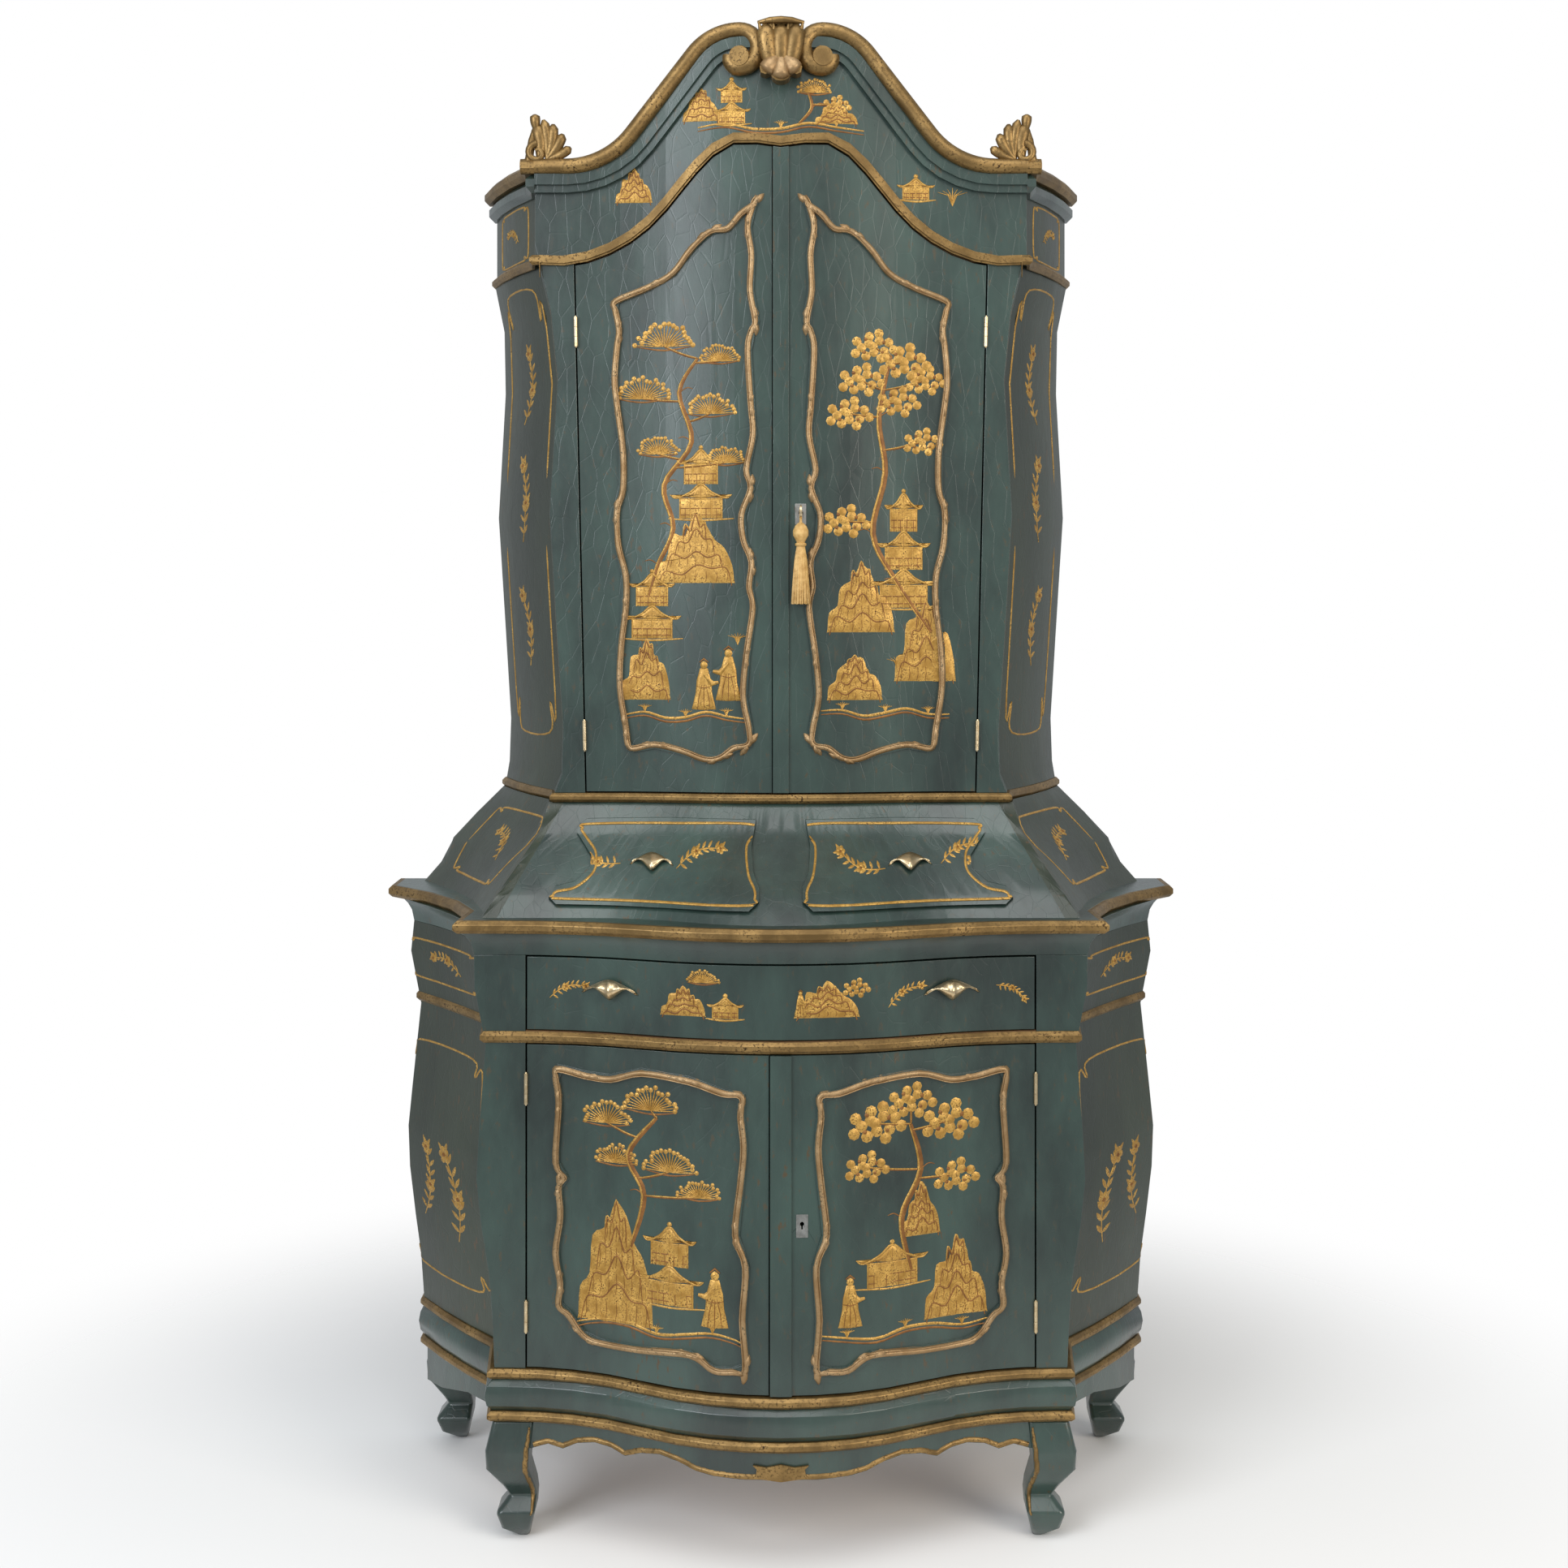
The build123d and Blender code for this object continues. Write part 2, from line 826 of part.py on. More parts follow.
with BuildPart() as slope_sides:
    add(slope_shell.part)
    add(front_zone, mode=Mode.SUBTRACT)
slope_sides.part.label = "slope_sides"
export_step(slope_sides.part, "parts/slope_sides.step")

# Gilt moulding under the upper case
base_ring = ring(
    upper_plan(base_level, *base_shares, bead_proud, bead_proud),
    upper_plan(base_level, *base_shares, -bead_ring, -bead_ring, back_y + overrun),
    base_bead_height,
)
with BuildPart() as upper_base_moulding:
    add(base_ring)
upper_base_moulding.part.label = "upper_base_moulding"
export_step(upper_base_moulding.part, "parts/upper_base_moulding.step")

# Upper pilasters: posts beside the doors, whose inner faces lean with the door edges
def opening_half(level, margin=0):
    """Half width of the upper door opening at one level."""
    share = (level - upper_floor) / upper_spring_height
    return upper_opening_bottom + share * (upper_opening_top - upper_opening_bottom) - margin


post_back = upper_y + upper_return
post_outline = polygon(
    [
        (opening_half(upper_floor), upper_floor),
        (upper_side, upper_floor),
        (upper_side, spring_level),
        (opening_half(spring_level), spring_level),
    ]
)
post_prism = prism(post_outline)
post_depth = block(0, upper_side, -case_depth, post_back, upper_floor, spring_level)
with BuildPart() as upper_post:
    add(upper_form.part)
    add(post_prism, mode=Mode.INTERSECT)
    add(post_depth, mode=Mode.INTERSECT)

with BuildPart() as upper_pilasters:
    add([upper_post.part, mirrored(upper_post.part)])
upper_pilasters.part.label = "upper_pilasters"
export_step(upper_pilasters.part, "parts/upper_pilasters.step")

# Upper side panels: a swelling part below the springing and a straight part beside the frieze
tympanum_front = upper_y + door_thickness + door_gap
tympanum_back = tympanum_front + tympanum_thickness
low_zone = block(0, upper_side, post_back, back_y, upper_floor, spring_level)
high_zone = block(0, upper_side, tympanum_front, back_y, spring_level, frieze_top)
with BuildPart() as swelling_side:
    add(upper_form.part)
    add(upper_core.part, mode=Mode.SUBTRACT)
    add(low_zone, mode=Mode.INTERSECT)

with BuildPart() as frieze_side:
    add(frieze_form.part)
    add(frieze_core.part, mode=Mode.SUBTRACT)
    add(high_zone, mode=Mode.INTERSECT)

with BuildPart() as upper_side_right:
    add([swelling_side.part, frieze_side.part])
upper_side_right.part.label = "upper_side_right"
export_step(upper_side_right.part, "parts/upper_side_right.step")

with BuildPart() as upper_side_left:
    add(mirrored(upper_side_right.part))
upper_side_left.part.label = "upper_side_left"
export_step(upper_side_left.part, "parts/upper_side_left.step")

upper_back_zone = block(-upper_side, upper_side, inner_back, back_y, upper_floor, spring_level)
frieze_back_zone = block(
    -upper_side, upper_side, inner_back, back_y, spring_level, frieze_top - shelf_thickness
)
with BuildPart() as frieze_back:
    add(frieze_core.part)
    add(frieze_back_zone, mode=Mode.INTERSECT)

with BuildPart() as upper_back_panel:
    add(upper_core.part)
    add(upper_back_zone, mode=Mode.INTERSECT)
    add(frieze_back.part)
upper_back_panel.part.label = "upper_back_panel"
export_step(upper_back_panel.part, "parts/upper_back_panel.step")


def upper_shelf(level):
    """Shelf between the upper side panels, notched round the posts."""
    zone = block(-upper_side, upper_side, tympanum_front, inner_back, level, level + shelf_thickness)
    with BuildPart() as piece:
        add(upper_core.part)
        add(zone, mode=Mode.INTERSECT)
        add(upper_pilasters.part, mode=Mode.SUBTRACT)
    return piece.part


upper_shelves = [upper_shelf(upper_floor + height) for height in upper_shelf_heights]
with BuildPart() as shelves:
    add(lower_shelf.part)
    add(upper_shelves)
shelves.part.label = "shelves"
export_step(shelves.part, "parts/shelves.step")

# Arch over the doors: shares of half width and rise, from the crown to the springing
arch_shares = [(0.178, 1), (0.361, 0.75), (0.552, 0.311), (0.776, 0.046), (1, 0)]
arch_crown_share = 0.964


def arch_points(shift):
    """Points of the arch line, moved square to it by a distance, from left to right."""
    right = [(x * arch_half, spring_level + z * arch_rise) for x, z in arch_shares]
    left = [(-x, z) for x, z in reversed(right)]
    line = left + [(0, spring_level + arch_crown_share * arch_rise)] + right
    moved = []
    for index, (x, z) in enumerate(line):
        before = line[max(index - 1, 0)]
        after = line[min(index + 1, len(line) - 1)]
        run = after[0] - before[0]
        rise = after[1] - before[1]
        length = hypot(run, rise)
        moved.append((x - shift * rise / length, z + shift * run / length))
    return moved


def under_arch(shift, base):
    """Region on the front plane between a level and the arch line."""
    with BuildSketch(Plane.XZ) as region:
        with BuildLine():
            line = Spline(*arch_points(shift), mode=Mode.PRIVATE)
            spots = [line @ (step / arch_steps) for step in range(arch_steps + 1)]
            Polyline(*spots, (arch_half, base), (-arch_half, base), close=True)
        make_face()
    return region.sketch


def bonnet_points(drop=0):
    """Right half of the bonnet line, or a line below it: flat, hollow, slant and crown."""
    turn = radians(bonnet_angle)
    rise = bonnet_rise - (bonnet_foot_radius + crown_level_radius) * (1 - cos(turn))
    run = (bonnet_foot_radius + crown_level_radius) * sin(turn) + rise / tan(turn)
    foot = scroll_centre + run
    points = [(bonnet_corner, roll_level - drop)]
    hollow = bonnet_foot_radius + drop
    for step in range(bonnet_steps + 1):
        angle = turn * step / bonnet_steps
        level = roll_level + bonnet_foot_radius - hollow * cos(angle)
        points.append((foot - hollow * sin(angle), level))
    crown = crown_level_radius - drop
    for step in range(bonnet_steps + 1):
        angle = turn * (1 - step / bonnet_steps)
        level = crown_level - crown_level_radius + crown * cos(angle)
        points.append((scroll_centre + crown * sin(angle), level))
    return points


def under_bonnet(drop, base):
    """Region on the front plane between a level and a line below the bonnet."""
    with BuildSketch(Plane.XZ) as region:
        with BuildLine():
            Polyline((0, base), (bonnet_corner, base), *bonnet_points(drop), (0, crown_level - drop))
            mirror(about=Plane.YZ)
        make_face()
    return region.sketch


# Frieze board between the arch and the bonnet, flat at the back
arch_void = prism(under_arch(-arch_lap, lower_floor))
frieze_depth = block(-upper_side, upper_side, -case_depth, tympanum_front, spring_level, crown_level)
bonnet_prism = prism(under_bonnet(roll_radius / 2, frieze_low))
with BuildPart() as frieze:
    add(frieze_form.part)
    add(bonnet_prism, mode=Mode.INTERSECT)
    add(frieze_depth, mode=Mode.INTERSECT)
    add(arch_void, mode=Mode.SUBTRACT)
frieze.part.label = "frieze"
export_step(frieze.part, "parts/frieze.step")

# Boards behind the frieze: the tympanum that the arched doors close against, and the top
tympanum_half = opening_half(spring_level)
with BuildPart() as tympanum:
    add(bonnet_prism)
    tympanum_zone = block(
        -tympanum_half,
        tympanum_half,
        tympanum_front,
        tympanum_back,
        spring_level,
        crown_level - arch_rise / 2,
    )
    add(tympanum_zone, mode=Mode.INTERSECT)

with BuildPart() as top_board:
    add(frieze_core.part)
    top_near = tympanum_back + touch
    top_low = frieze_top - shelf_thickness
    top_zone = block(-upper_side, upper_side, top_near, back_y, top_low, frieze_top)
    add(top_zone, mode=Mode.INTERSECT)

with BuildPart() as upper_top_boards:
    add([tympanum.part, top_board.part])
upper_top_boards.part.label = "upper_top_boards"
export_step(upper_top_boards.part, "parts/upper_top_boards.step")

# Gilt arch moulding: a stepped bead along the arch that goes on round the sides
wide_band = front_skin(frieze_form.part, arch_proud * step_share, under_arch(arch_bead, frieze_low))
narrow_band = front_skin(frieze_form.part, arch_proud, under_arch(arch_bead * step_share, frieze_low))
wide_void = prism(under_arch(-arch_bead, frieze_low - overrun))
narrow_void = prism(under_arch(-arch_bead * step_share, frieze_low - overrun))
arch_side_low = spring_level - arch_bead
arch_side = ring(
    upper_plan(arch_side_low, *frieze_shares, arch_proud, arch_proud),
    upper_plan(arch_side_low, *frieze_shares, -upper_wall, -upper_wall, back_y + overrun),
    2 * arch_bead,
)
side_reach = block(arch_half, 2 * upper_side, -case_depth, back_y, frieze_low, frieze_top)
with BuildPart() as arch_wide:
    add(wide_band)
    add(wide_void, mode=Mode.SUBTRACT)

with BuildPart() as arch_narrow:
    add(narrow_band)
    add(narrow_void, mode=Mode.SUBTRACT)

with BuildPart() as arch_return:
    add(arch_side)
    add(side_reach, mode=Mode.INTERSECT)
    add([frieze_form.part, upper_form.part], mode=Mode.SUBTRACT)

with BuildPart() as arch_moulding:
    add([arch_wide.part, arch_narrow.part, arch_return.part, mirrored(arch_return.part)])
arch_moulding.part.label = "arch_moulding"
export_step(arch_moulding.part, "parts/arch_moulding.step")

# Green cavetto of the cornice: a stepped band under the bonnet and along the sides
cavetto_deep = front_skin(frieze_form.part, cavetto_proud, under_bonnet(roll_radius, frieze_low))
cavetto_shallow = front_skin(
    frieze_form.part, cavetto_proud * step_share, under_bonnet(roll_radius, frieze_low)
)
deep_void = prism(under_bonnet(roll_radius + cavetto_band * step_share, frieze_low - overrun))
shallow_void = prism(under_bonnet(roll_radius + cavetto_band, frieze_low - overrun))
cavetto_low = roll_level - roll_radius - cavetto_band
cavetto_sides = ring(
    upper_plan(cavetto_low, *frieze_shares, cavetto_proud, cavetto_proud),
    upper_plan(cavetto_low, *frieze_shares, -upper_wall, -upper_wall, back_y + overrun),
    cavetto_band,
)
cornice_reach = block(upper_corner, 2 * upper_side, -case_depth, back_y, frieze_low, crown_level)
with BuildPart() as cavetto_upper:
    add(cavetto_deep)
    add(deep_void, mode=Mode.SUBTRACT)

with BuildPart() as cavetto_lower:
    add(cavetto_shallow)
    add(shallow_void, mode=Mode.SUBTRACT)

with BuildPart() as cavetto_return:
    add(cavetto_sides)
    add(cornice_reach, mode=Mode.INTERSECT)

with BuildPart() as cornice_cavetto:
    add([cavetto_upper.part, cavetto_lower.part, cavetto_return.part, mirrored(cavetto_return.part)])
    add([upper_side_left.part, upper_side_right.part, frieze.part], mode=Mode.SUBTRACT)
cornice_cavetto.part.label = "cornice_cavetto"
export_step(cornice_cavetto.part, "parts/cornice_cavetto.step")

# Gilt roll of the cornice: a rod along the bonnet that curls into a scroll beside the crest
roll_front = upper_y - upper_bow - cavetto_proud + roll_radius / 2
tilt = Plane(
    origin=(0, roll_front, 0),
    x_dir=(bonnet_corner, upper_bow, 0),
    z_dir=(upper_bow, -bonnet_corner, 0),
)
scroll_eye_level = crown_level - 2 * scroll_radius + scroll_inner_radius
scroll_points = bonnet_points()
for step in range(1, curl_steps + 1):
    turn = pi * step / curl_steps
    level = crown_level - scroll_radius + scroll_radius * cos(turn)
    scroll_points.append((scroll_centre - scroll_radius * sin(turn), level))
for step in range(1, curl_steps // 2 + 1):
    turn = pi * step / curl_steps
    level = scroll_eye_level - scroll_inner_radius * cos(turn)
    scroll_points.append((scroll_centre + scroll_inner_radius * sin(turn), level))
with BuildLine(tilt) as roll_line:
    Polyline(*scroll_points)
roll_path = roll_line.line


with BuildPart() as roll_rod:
    with BuildSketch(Plane(origin=roll_path @ 0, z_dir=roll_path % 0)):
        RegularPolygon(roll_radius, roll_sides)
    sweep(path=roll_path, transition=Transition.RIGHT)

eye_spot = (scroll_centre, scroll_eye_level)
with BuildPart() as scroll_eye:
    with BuildSketch(tilt):
        with Locations(eye_spot):
            RegularPolygon(scroll_eye_radius, round_sides)
    extrude(amount=scroll_eye_radius, both=True)

roll_low = roll_level - roll_radius
roll_ring = ring(
    upper_plan(roll_low, *frieze_shares, roll_proud, roll_proud),
    upper_plan(roll_low, *frieze_shares, -upper_wall, -upper_wall, back_y + overrun),
    2 * roll_radius,
)
with BuildPart() as roll_return:
    add(roll_ring)
    add(cornice_reach, mode=Mode.INTERSECT)

with BuildPart() as roll_half:
    add([roll_rod.part, scroll_eye.part, roll_return.part])
    add([cornice_cavetto.part, frieze.part, upper_side_right.part], mode=Mode.SUBTRACT)

with BuildPart() as cornice_roll:
    add([roll_half.part, mirrored(roll_half.part)])
cornice_roll.part.label = "cornice_roll"
export_step(cornice_roll.part, "parts/cornice_roll.step")

# Crest: a fluted shell between the scrolls. Shares of its half width and height
crest_shares = [
    (0, 1),
    (0.84, 1),
    (0.75, 0.75),
    (0.74, 0.5),
    (0.79, 0.31),
    (0.95, 0.24),
    (0.9, 0.14),
    (0.7, 0.11),
    (0.46, 0.14),
    (0.36, 0.05),
    (0.2, 0.01),
    (0, 0),
]
crest_base = crown_level + roll_radius - crest_drop - crest_height
crest_back = roll_front + roll_radius
flute_outline_shares = [(0.14, 0.95), (0.34, 0.95), (0.5, 0.24), (0.24, 0.24)]
with BuildPart() as flute:
    with BuildSketch(Plane.XZ.offset(-crest_back + crest_depth)):
        with BuildLine():
            spots = [(x * crest_half, crest_base + z * crest_height) for x, z in flute_outline_shares]
            Polyline(*spots, close=True)
        make_face()
    extrude(amount=-crest_flute, taper=crest_flute_slope)

with BuildPart() as crest_shell:
    with BuildSketch(Plane.XZ.offset(-crest_back)):
        with BuildLine():
            Polyline(*[(x * crest_half, crest_base + z * crest_height) for x, z in crest_shares])
            mirror(about=Plane.YZ)
        make_face()
    extrude(amount=crest_depth)
    add([flute.part, mirrored(flute.part)], mode=Mode.SUBTRACT)
    add([cornice_roll.part, cornice_cavetto.part, frieze.part], mode=Mode.SUBTRACT)
crest_shell.part.label = "crest_shell"
export_step(crest_shell.part, "parts/crest_shell.step")

# Corner finials: a volute, an upright leaf and a fan. Shares of finial width and height
finial_shares = [
    (0.08, 0),
    (0, 0.3),
    (0.13, 0.5),
    (0.18, 0.7),
    (0.13, 0.86),
    (0.25, 1),
    (0.4, 0.96),
    (0.38, 0.82),
    (0.55, 0.84),
    (0.66, 0.68),
    (0.78, 0.72),
    (0.88, 0.55),
    (0.97, 0.3),
    (1, 0),
]
finial_outer = bonnet_corner - finial_inset
with BuildPart() as finial_leaf:
    with BuildSketch(tilt):
        with BuildLine():
            across = [finial_outer - x * finial_width for x, z in finial_shares]
            up = [roll_level + z * finial_height for x, z in finial_shares]
            Polyline(*zip(across, up), close=True)
        make_face()
    extrude(amount=finial_depth / 2, both=True)

volute_rise = volute_share * finial_width
with BuildPart() as volute:
    with BuildSketch(tilt):
        with Locations((finial_outer - volute_share * finial_width, roll_level + volute_rise)):
            RegularPolygon(volute_radius, volute_sides)
    extrude(amount=finial_depth / 2 + volute_proud, both=True)

with BuildPart() as finials:
    add([finial_leaf.part, volute.part])
    add([mirrored(finial_leaf.part), mirrored(volute.part)])
    add(cornice_roll.part, mode=Mode.SUBTRACT)
finials.part.label = "finials"
export_step(finials.part, "parts/finials.step")


def raised_frame(form, shares, low, size, width):
    """Raised frame on the front of a form, on the +X side."""
    outline = polygon([(low[0] + x * size[0], low[1] + z * size[1]) for x, z in shares])
    with BuildSketch(Plane.XZ) as inside:
        add(outline)
        offset(amount=-width, kind=Kind.INTERSECTION)
    with BuildPart() as frame:
        add(front_skin(form, frame_proud, outline))
        add(prism(inside.sketch), mode=Mode.SUBTRACT)
    return frame.part


# Lower frame outline: shares of frame width from the meeting edge and of frame height
lower_frame_shares = [
    (0, 0.02),
    (0.015, 0.187),
    (0, 0.362),
    (0.05, 0.465),
    (0.025, 0.63),
    (0.01, 0.75),
    (0.025, 0.855),
    (0.025, 0.93),
    (0.13, 0.944),
    (0.3, 0.978),
    (0.54, 0.994),
    (0.7, 0.964),
    (0.82, 0.97),
    (0.97, 0.99),
    (1, 0.947),
    (0.984, 0.855),
    (1, 0.65),
    (0.956, 0.6),
    (0.984, 0.57),
    (0.976, 0.465),
    (1, 0.34),
    (0.976, 0.237),
    (0.984, 0.156),
    (0.93, 0.12),
    (0.85, 0.053),
    (0.75, 0.03),
    (0.55, 0.03),
    (0.3, 0.042),
    (0.18, 0),
    (0.08, 0),
]

# Upper frame outline, in the same way
upper_frame_shares = [
    (0.06, 0.02),
    (0.053, 0.052),
    (0.09, 0.109),
    (0.071, 0.18),
    (0.03, 0.266),
    (0.053, 0.304),
    (0.039, 0.349),
    (0.09, 0.389),
    (0.1, 0.432),
    (0.043, 0.478),
    (0.071, 0.512),
    (0.03, 0.573),
    (0.043, 0.629),
    (0.062, 0.724),
    (0.04, 0.757),
    (0.015, 0.776),
    (0.048, 0.831),
    (0.039, 0.894),
    (0.062, 0.942),
    (0.039, 0.972),
    (0.006, 1.0),
    (0.06, 0.99),
    (0.146, 0.972),
    (0.225, 0.947),
    (0.333, 0.942),
    (0.459, 0.909),
    (0.566, 0.869),
    (0.706, 0.846),
    (0.92, 0.82),
    (0.93, 0.798),
    (0.907, 0.762),
    (0.92, 0.733),
    (0.935, 0.675),
    (0.92, 0.629),
    (0.883, 0.546),
    (0.883, 0.478),
    (0.92, 0.438),
    (0.911, 0.377),
    (0.865, 0.322),
    (0.865, 0.266),
    (0.893, 0.199),
    (0.902, 0.125),
    (0.865, 0.052),
    (0.85, 0.02),
    (0.795, 0.008),
    (0.66, 0.015),
    (0.501, 0.005),
    (0.357, -0.01),
    (0.249, -0.007),
    (0.16, 0.011),
]
lower_frame_low = (lower_frame_inner, dust_level - lower_frame_drop - lower_frame_height)
lower_frame_size = (lower_frame_width, lower_frame_height)
upper_frame_low = (upper_frame_inner, upper_floor + upper_frame_rise)
upper_frame_size = (upper_frame_width, upper_frame_height)
lower_ring = raised_frame(
    lower_form.part, lower_frame_shares, lower_frame_low, lower_frame_size, lower_frame_band
)

lower_door_low = lower_floor + door_gap
lower_door_high = dust_level - door_gap
lower_edge = -lower_strip_width / 2
upper_edge = -upper_strip_width / 2


def front_of(form, x, level):
    """Y of the front of a form at one spot."""
    with BuildPart() as probe:
        add(form)
        needle = block(x - touch, x + touch, -case_depth, back_y, level - touch, level + touch)
        add(needle, mode=Mode.INTERSECT)
    return probe.part.bounding_box().min.Y


# Straight form with the same front as the upper case, for the arched doors
with BuildPart() as upper_face:
    add(upper_plan(upper_floor, 1, 1))
    extrude(amount=crown_level - upper_floor)

upper_ring = raised_frame(
    upper_face.part, upper_frame_shares, upper_frame_low, upper_frame_size, upper_frame_band
)
upper_door_low = upper_floor + door_gap
door_arch = under_arch(-arch_bead - door_gap, lower_floor)


def upper_outline(left, lower_right, upper_right):
    """Outline of an upper door or strip, under the arch, with a leaning right edge."""
    with BuildSketch(Plane.XZ) as outline:
        add(door_arch)
        corners = [
            (left, upper_door_low),
            (lower_right, upper_door_low),
            (upper_right, crown_level),
            (left, crown_level),
        ]
        add(polygon(corners), mode=Mode.INTERSECT)
    return outline.sketch


lean = atan2(upper_opening_top - upper_opening_bottom, upper_spring_height)
upper_door_foot = opening_half(upper_door_low, hinge_gap / cos(lean))
upper_door_head = opening_half(crown_level, hinge_gap / cos(lean))

# Key, lock and bolt places, worked out from the backs of the right doors
upper_key_level = upper_floor + upper_lock_height
lower_key_level = lower_floor + lower_lock_height
upper_door_face = front_of(upper_face.part, keyhole_offset, upper_key_level)
upper_door_back = front_of(upper_face.part, 0, upper_key_level) + door_thickness
lower_door_back = front_of(lower_form.part, 0, lower_key_level) + door_thickness
lock_room = lock_bolt_thickness + 2 * lock_play
lock_depth = lock_front_wall + lock_room + lock_side


def keyhole(level):
    """Round hole with a slot below it, right through a door and the front of its lock."""
    with BuildSketch(Plane.XZ) as outline:
        with Locations((keyhole_offset, level)):
            Circle(key_hole_radius)
        slot_low = level - key_radius - key_bit_width - lock_play
        slot_half = key_bit_thickness / 2 + lock_play
        add(rectangle(keyhole_offset - slot_half, keyhole_offset + slot_half, slot_low, level))
    return prism(outline.sketch)


def keyhole_in_front(level, back):
    """The keyhole as far as the inside of the lock."""
    far = back + lock_front_wall + touch
    reach = block(-case_depth, case_depth, -case_depth, far, lower_floor, crown_level)
    with BuildPart() as hole:
        add(keyhole(level))
        add(reach, mode=Mode.INTERSECT)
    return hole.part


upper_keyhole = keyhole_in_front(upper_key_level, upper_door_back)
lower_keyhole = keyhole_in_front(lower_key_level, lower_door_back)

# Lower doors: bowed boards, each with a raised frame, that meet at the strip's left edge
lower_right_outline = rectangle(
    lower_edge, lower_opening - hinge_gap, lower_door_low, lower_door_high
)
lower_left_outline = rectangle(
    hinge_gap - lower_opening, lower_edge - meeting_gap, lower_door_low, lower_door_high
)
lower_board_right = front_board(lower_form.part, door_thickness, lower_right_outline)
with BuildPart() as lower_door_right:
    add(lower_board_right)
    add(lower_ring)
    add(lower_keyhole, mode=Mode.SUBTRACT)
lower_door_right.part.label = "lower_door_right"
export_step(lower_door_right.part, "parts/lower_door_right.step")

lower_board_left = front_board(lower_form.part, door_thickness, lower_left_outline)
with BuildPart() as lower_door_left:
    add(lower_board_left)
    add(mirrored(lower_ring))
lower_door_left.part.label = "lower_door_left"
export_step(lower_door_left.part, "parts/lower_door_left.step")

# Upper doors: the same, with arched tops and leaning hinge edges
upper_right_outline = upper_outline(upper_edge, upper_door_foot, upper_door_head)
upper_left_outline = upper_outline(meeting_gap - upper_edge, upper_door_foot, upper_door_head)
upper_board_right = front_board(upper_face.part, door_thickness, upper_right_outline)
with BuildPart() as upper_door_right:
    add(upper_board_right)
    add(upper_ring)
    add(upper_keyhole, mode=Mode.SUBTRACT)
upper_door_right.part.label = "upper_door_right"
export_step(upper_door_right.part, "parts/upper_door_right.step")

upper_board_left = mirrored(front_board(upper_face.part, door_thickness, upper_left_outline))
with BuildPart() as upper_door_left:
    add(upper_board_left)
    add(mirrored(upper_ring))
upper_door_left.part.label = "upper_door_left"
export_step(upper_door_left.part, "parts/upper_door_left.step")

# Gilt meeting strips on the right doors
with BuildPart() as lower_meeting_strip:
    strip = rectangle(lower_edge, -lower_edge, lower_door_low, lower_door_high)
    add(front_skin(lower_form.part, strip_proud, strip))
lower_meeting_strip.part.label = "lower_meeting_strip"
export_step(lower_meeting_strip.part, "parts/lower_meeting_strip.step")

with BuildPart() as upper_meeting_strip:
    strip = upper_outline(upper_edge, -upper_edge, -upper_edge)
    add(front_skin(upper_face.part, strip_proud, strip))
upper_meeting_strip.part.label = "upper_meeting_strip"
export_step(upper_meeting_strip.part, "parts/upper_meeting_strip.step")


# Hinges: three knuckles on a pin in front of the gap, with leaves let into the gap
def knuckle(radius, low, high):
    """Upright round piece on the hinge axis."""
    with BuildPart() as piece:
        with BuildSketch(Plane.XY.offset(low)):
            Circle(radius)
        extrude(amount=high - low)
    return piece.part


knuckle_half = knuckle_length / 2
hinge_half = 3 * knuckle_half
leaf_near = hinge_gap / 2 - leaf_thickness


def fixed_hinge(stand):
    """Fixed leaf, outer knuckles and pin of a right-hand hinge, with its axis on Z."""
    with BuildPart() as hinge:
        add(knuckle(pin_radius, -hinge_half - pin_tip, hinge_half + pin_tip))
        for low, high in ((-hinge_half, -knuckle_half), (knuckle_half, hinge_half)):
            add(knuckle(knuckle_radius, low, high))
            add(block(leaf_near, hinge_gap / 2, 0, stand + touch, low, high))
        add(block(leaf_near, hinge_gap / 2, stand, stand + leaf_depth, -hinge_half, hinge_half))
    return hinge.part


def moving_hinge(stand):
    """Door leaf and middle knuckle of a right-hand hinge, with its axis on Z."""
    low = knuckle_play - knuckle_half
    high = knuckle_half - knuckle_play
    with BuildPart() as hinge:
        add(knuckle(knuckle_radius, low, high))
        add(block(-hinge_gap / 2, -leaf_near, 0, stand + touch, low, high))
        add(block(-hinge_gap / 2, -leaf_near, stand, stand + leaf_depth, -hinge_half, hinge_half))
        add(knuckle(pin_radius + pin_play, low, high), mode=Mode.SUBTRACT)
    return hinge.part


lower_hinge_x = lower_opening - hinge_gap / 2
lower_hinge_y = corner_y - lower_stand
upper_hinge_y = upper_y - upper_stand
lower_places = [
    Location((lower_hinge_x, lower_hinge_y, lower_floor + height)) for height in lower_hinge_heights
]
upper_places = []
for height in upper_hinge_heights:
    level = upper_floor + height
    spot = (opening_half(level, hinge_gap / 2 / cos(lean)), upper_hinge_y, level)
    upper_places.append(Location(spot, (0, degrees(lean), 0)))

lower_fixed = [fixed_hinge(lower_stand).moved(place) for place in lower_places]
upper_fixed = [fixed_hinge(upper_stand).moved(place) for place in upper_places]
lower_moving = [moving_hinge(lower_stand).moved(place) for place in lower_places]
upper_moving = [moving_hinge(upper_stand).moved(place) for place in upper_places]
with BuildPart() as hinge_leaves_fixed:
    add(lower_fixed + upper_fixed)
    add([mirrored(piece) for piece in lower_fixed + upper_fixed])
hinge_leaves_fixed.part.label = "hinge_leaves_fixed"
export_step(hinge_leaves_fixed.part, "parts/hinge_leaves_fixed.step")

with BuildPart() as hinge_leaves_lower_right:
    add(lower_moving)
hinge_leaves_lower_right.part.label = "hinge_leaves_lower_right"
export_step(hinge_leaves_lower_right.part, "parts/hinge_leaves_lower_right.step")

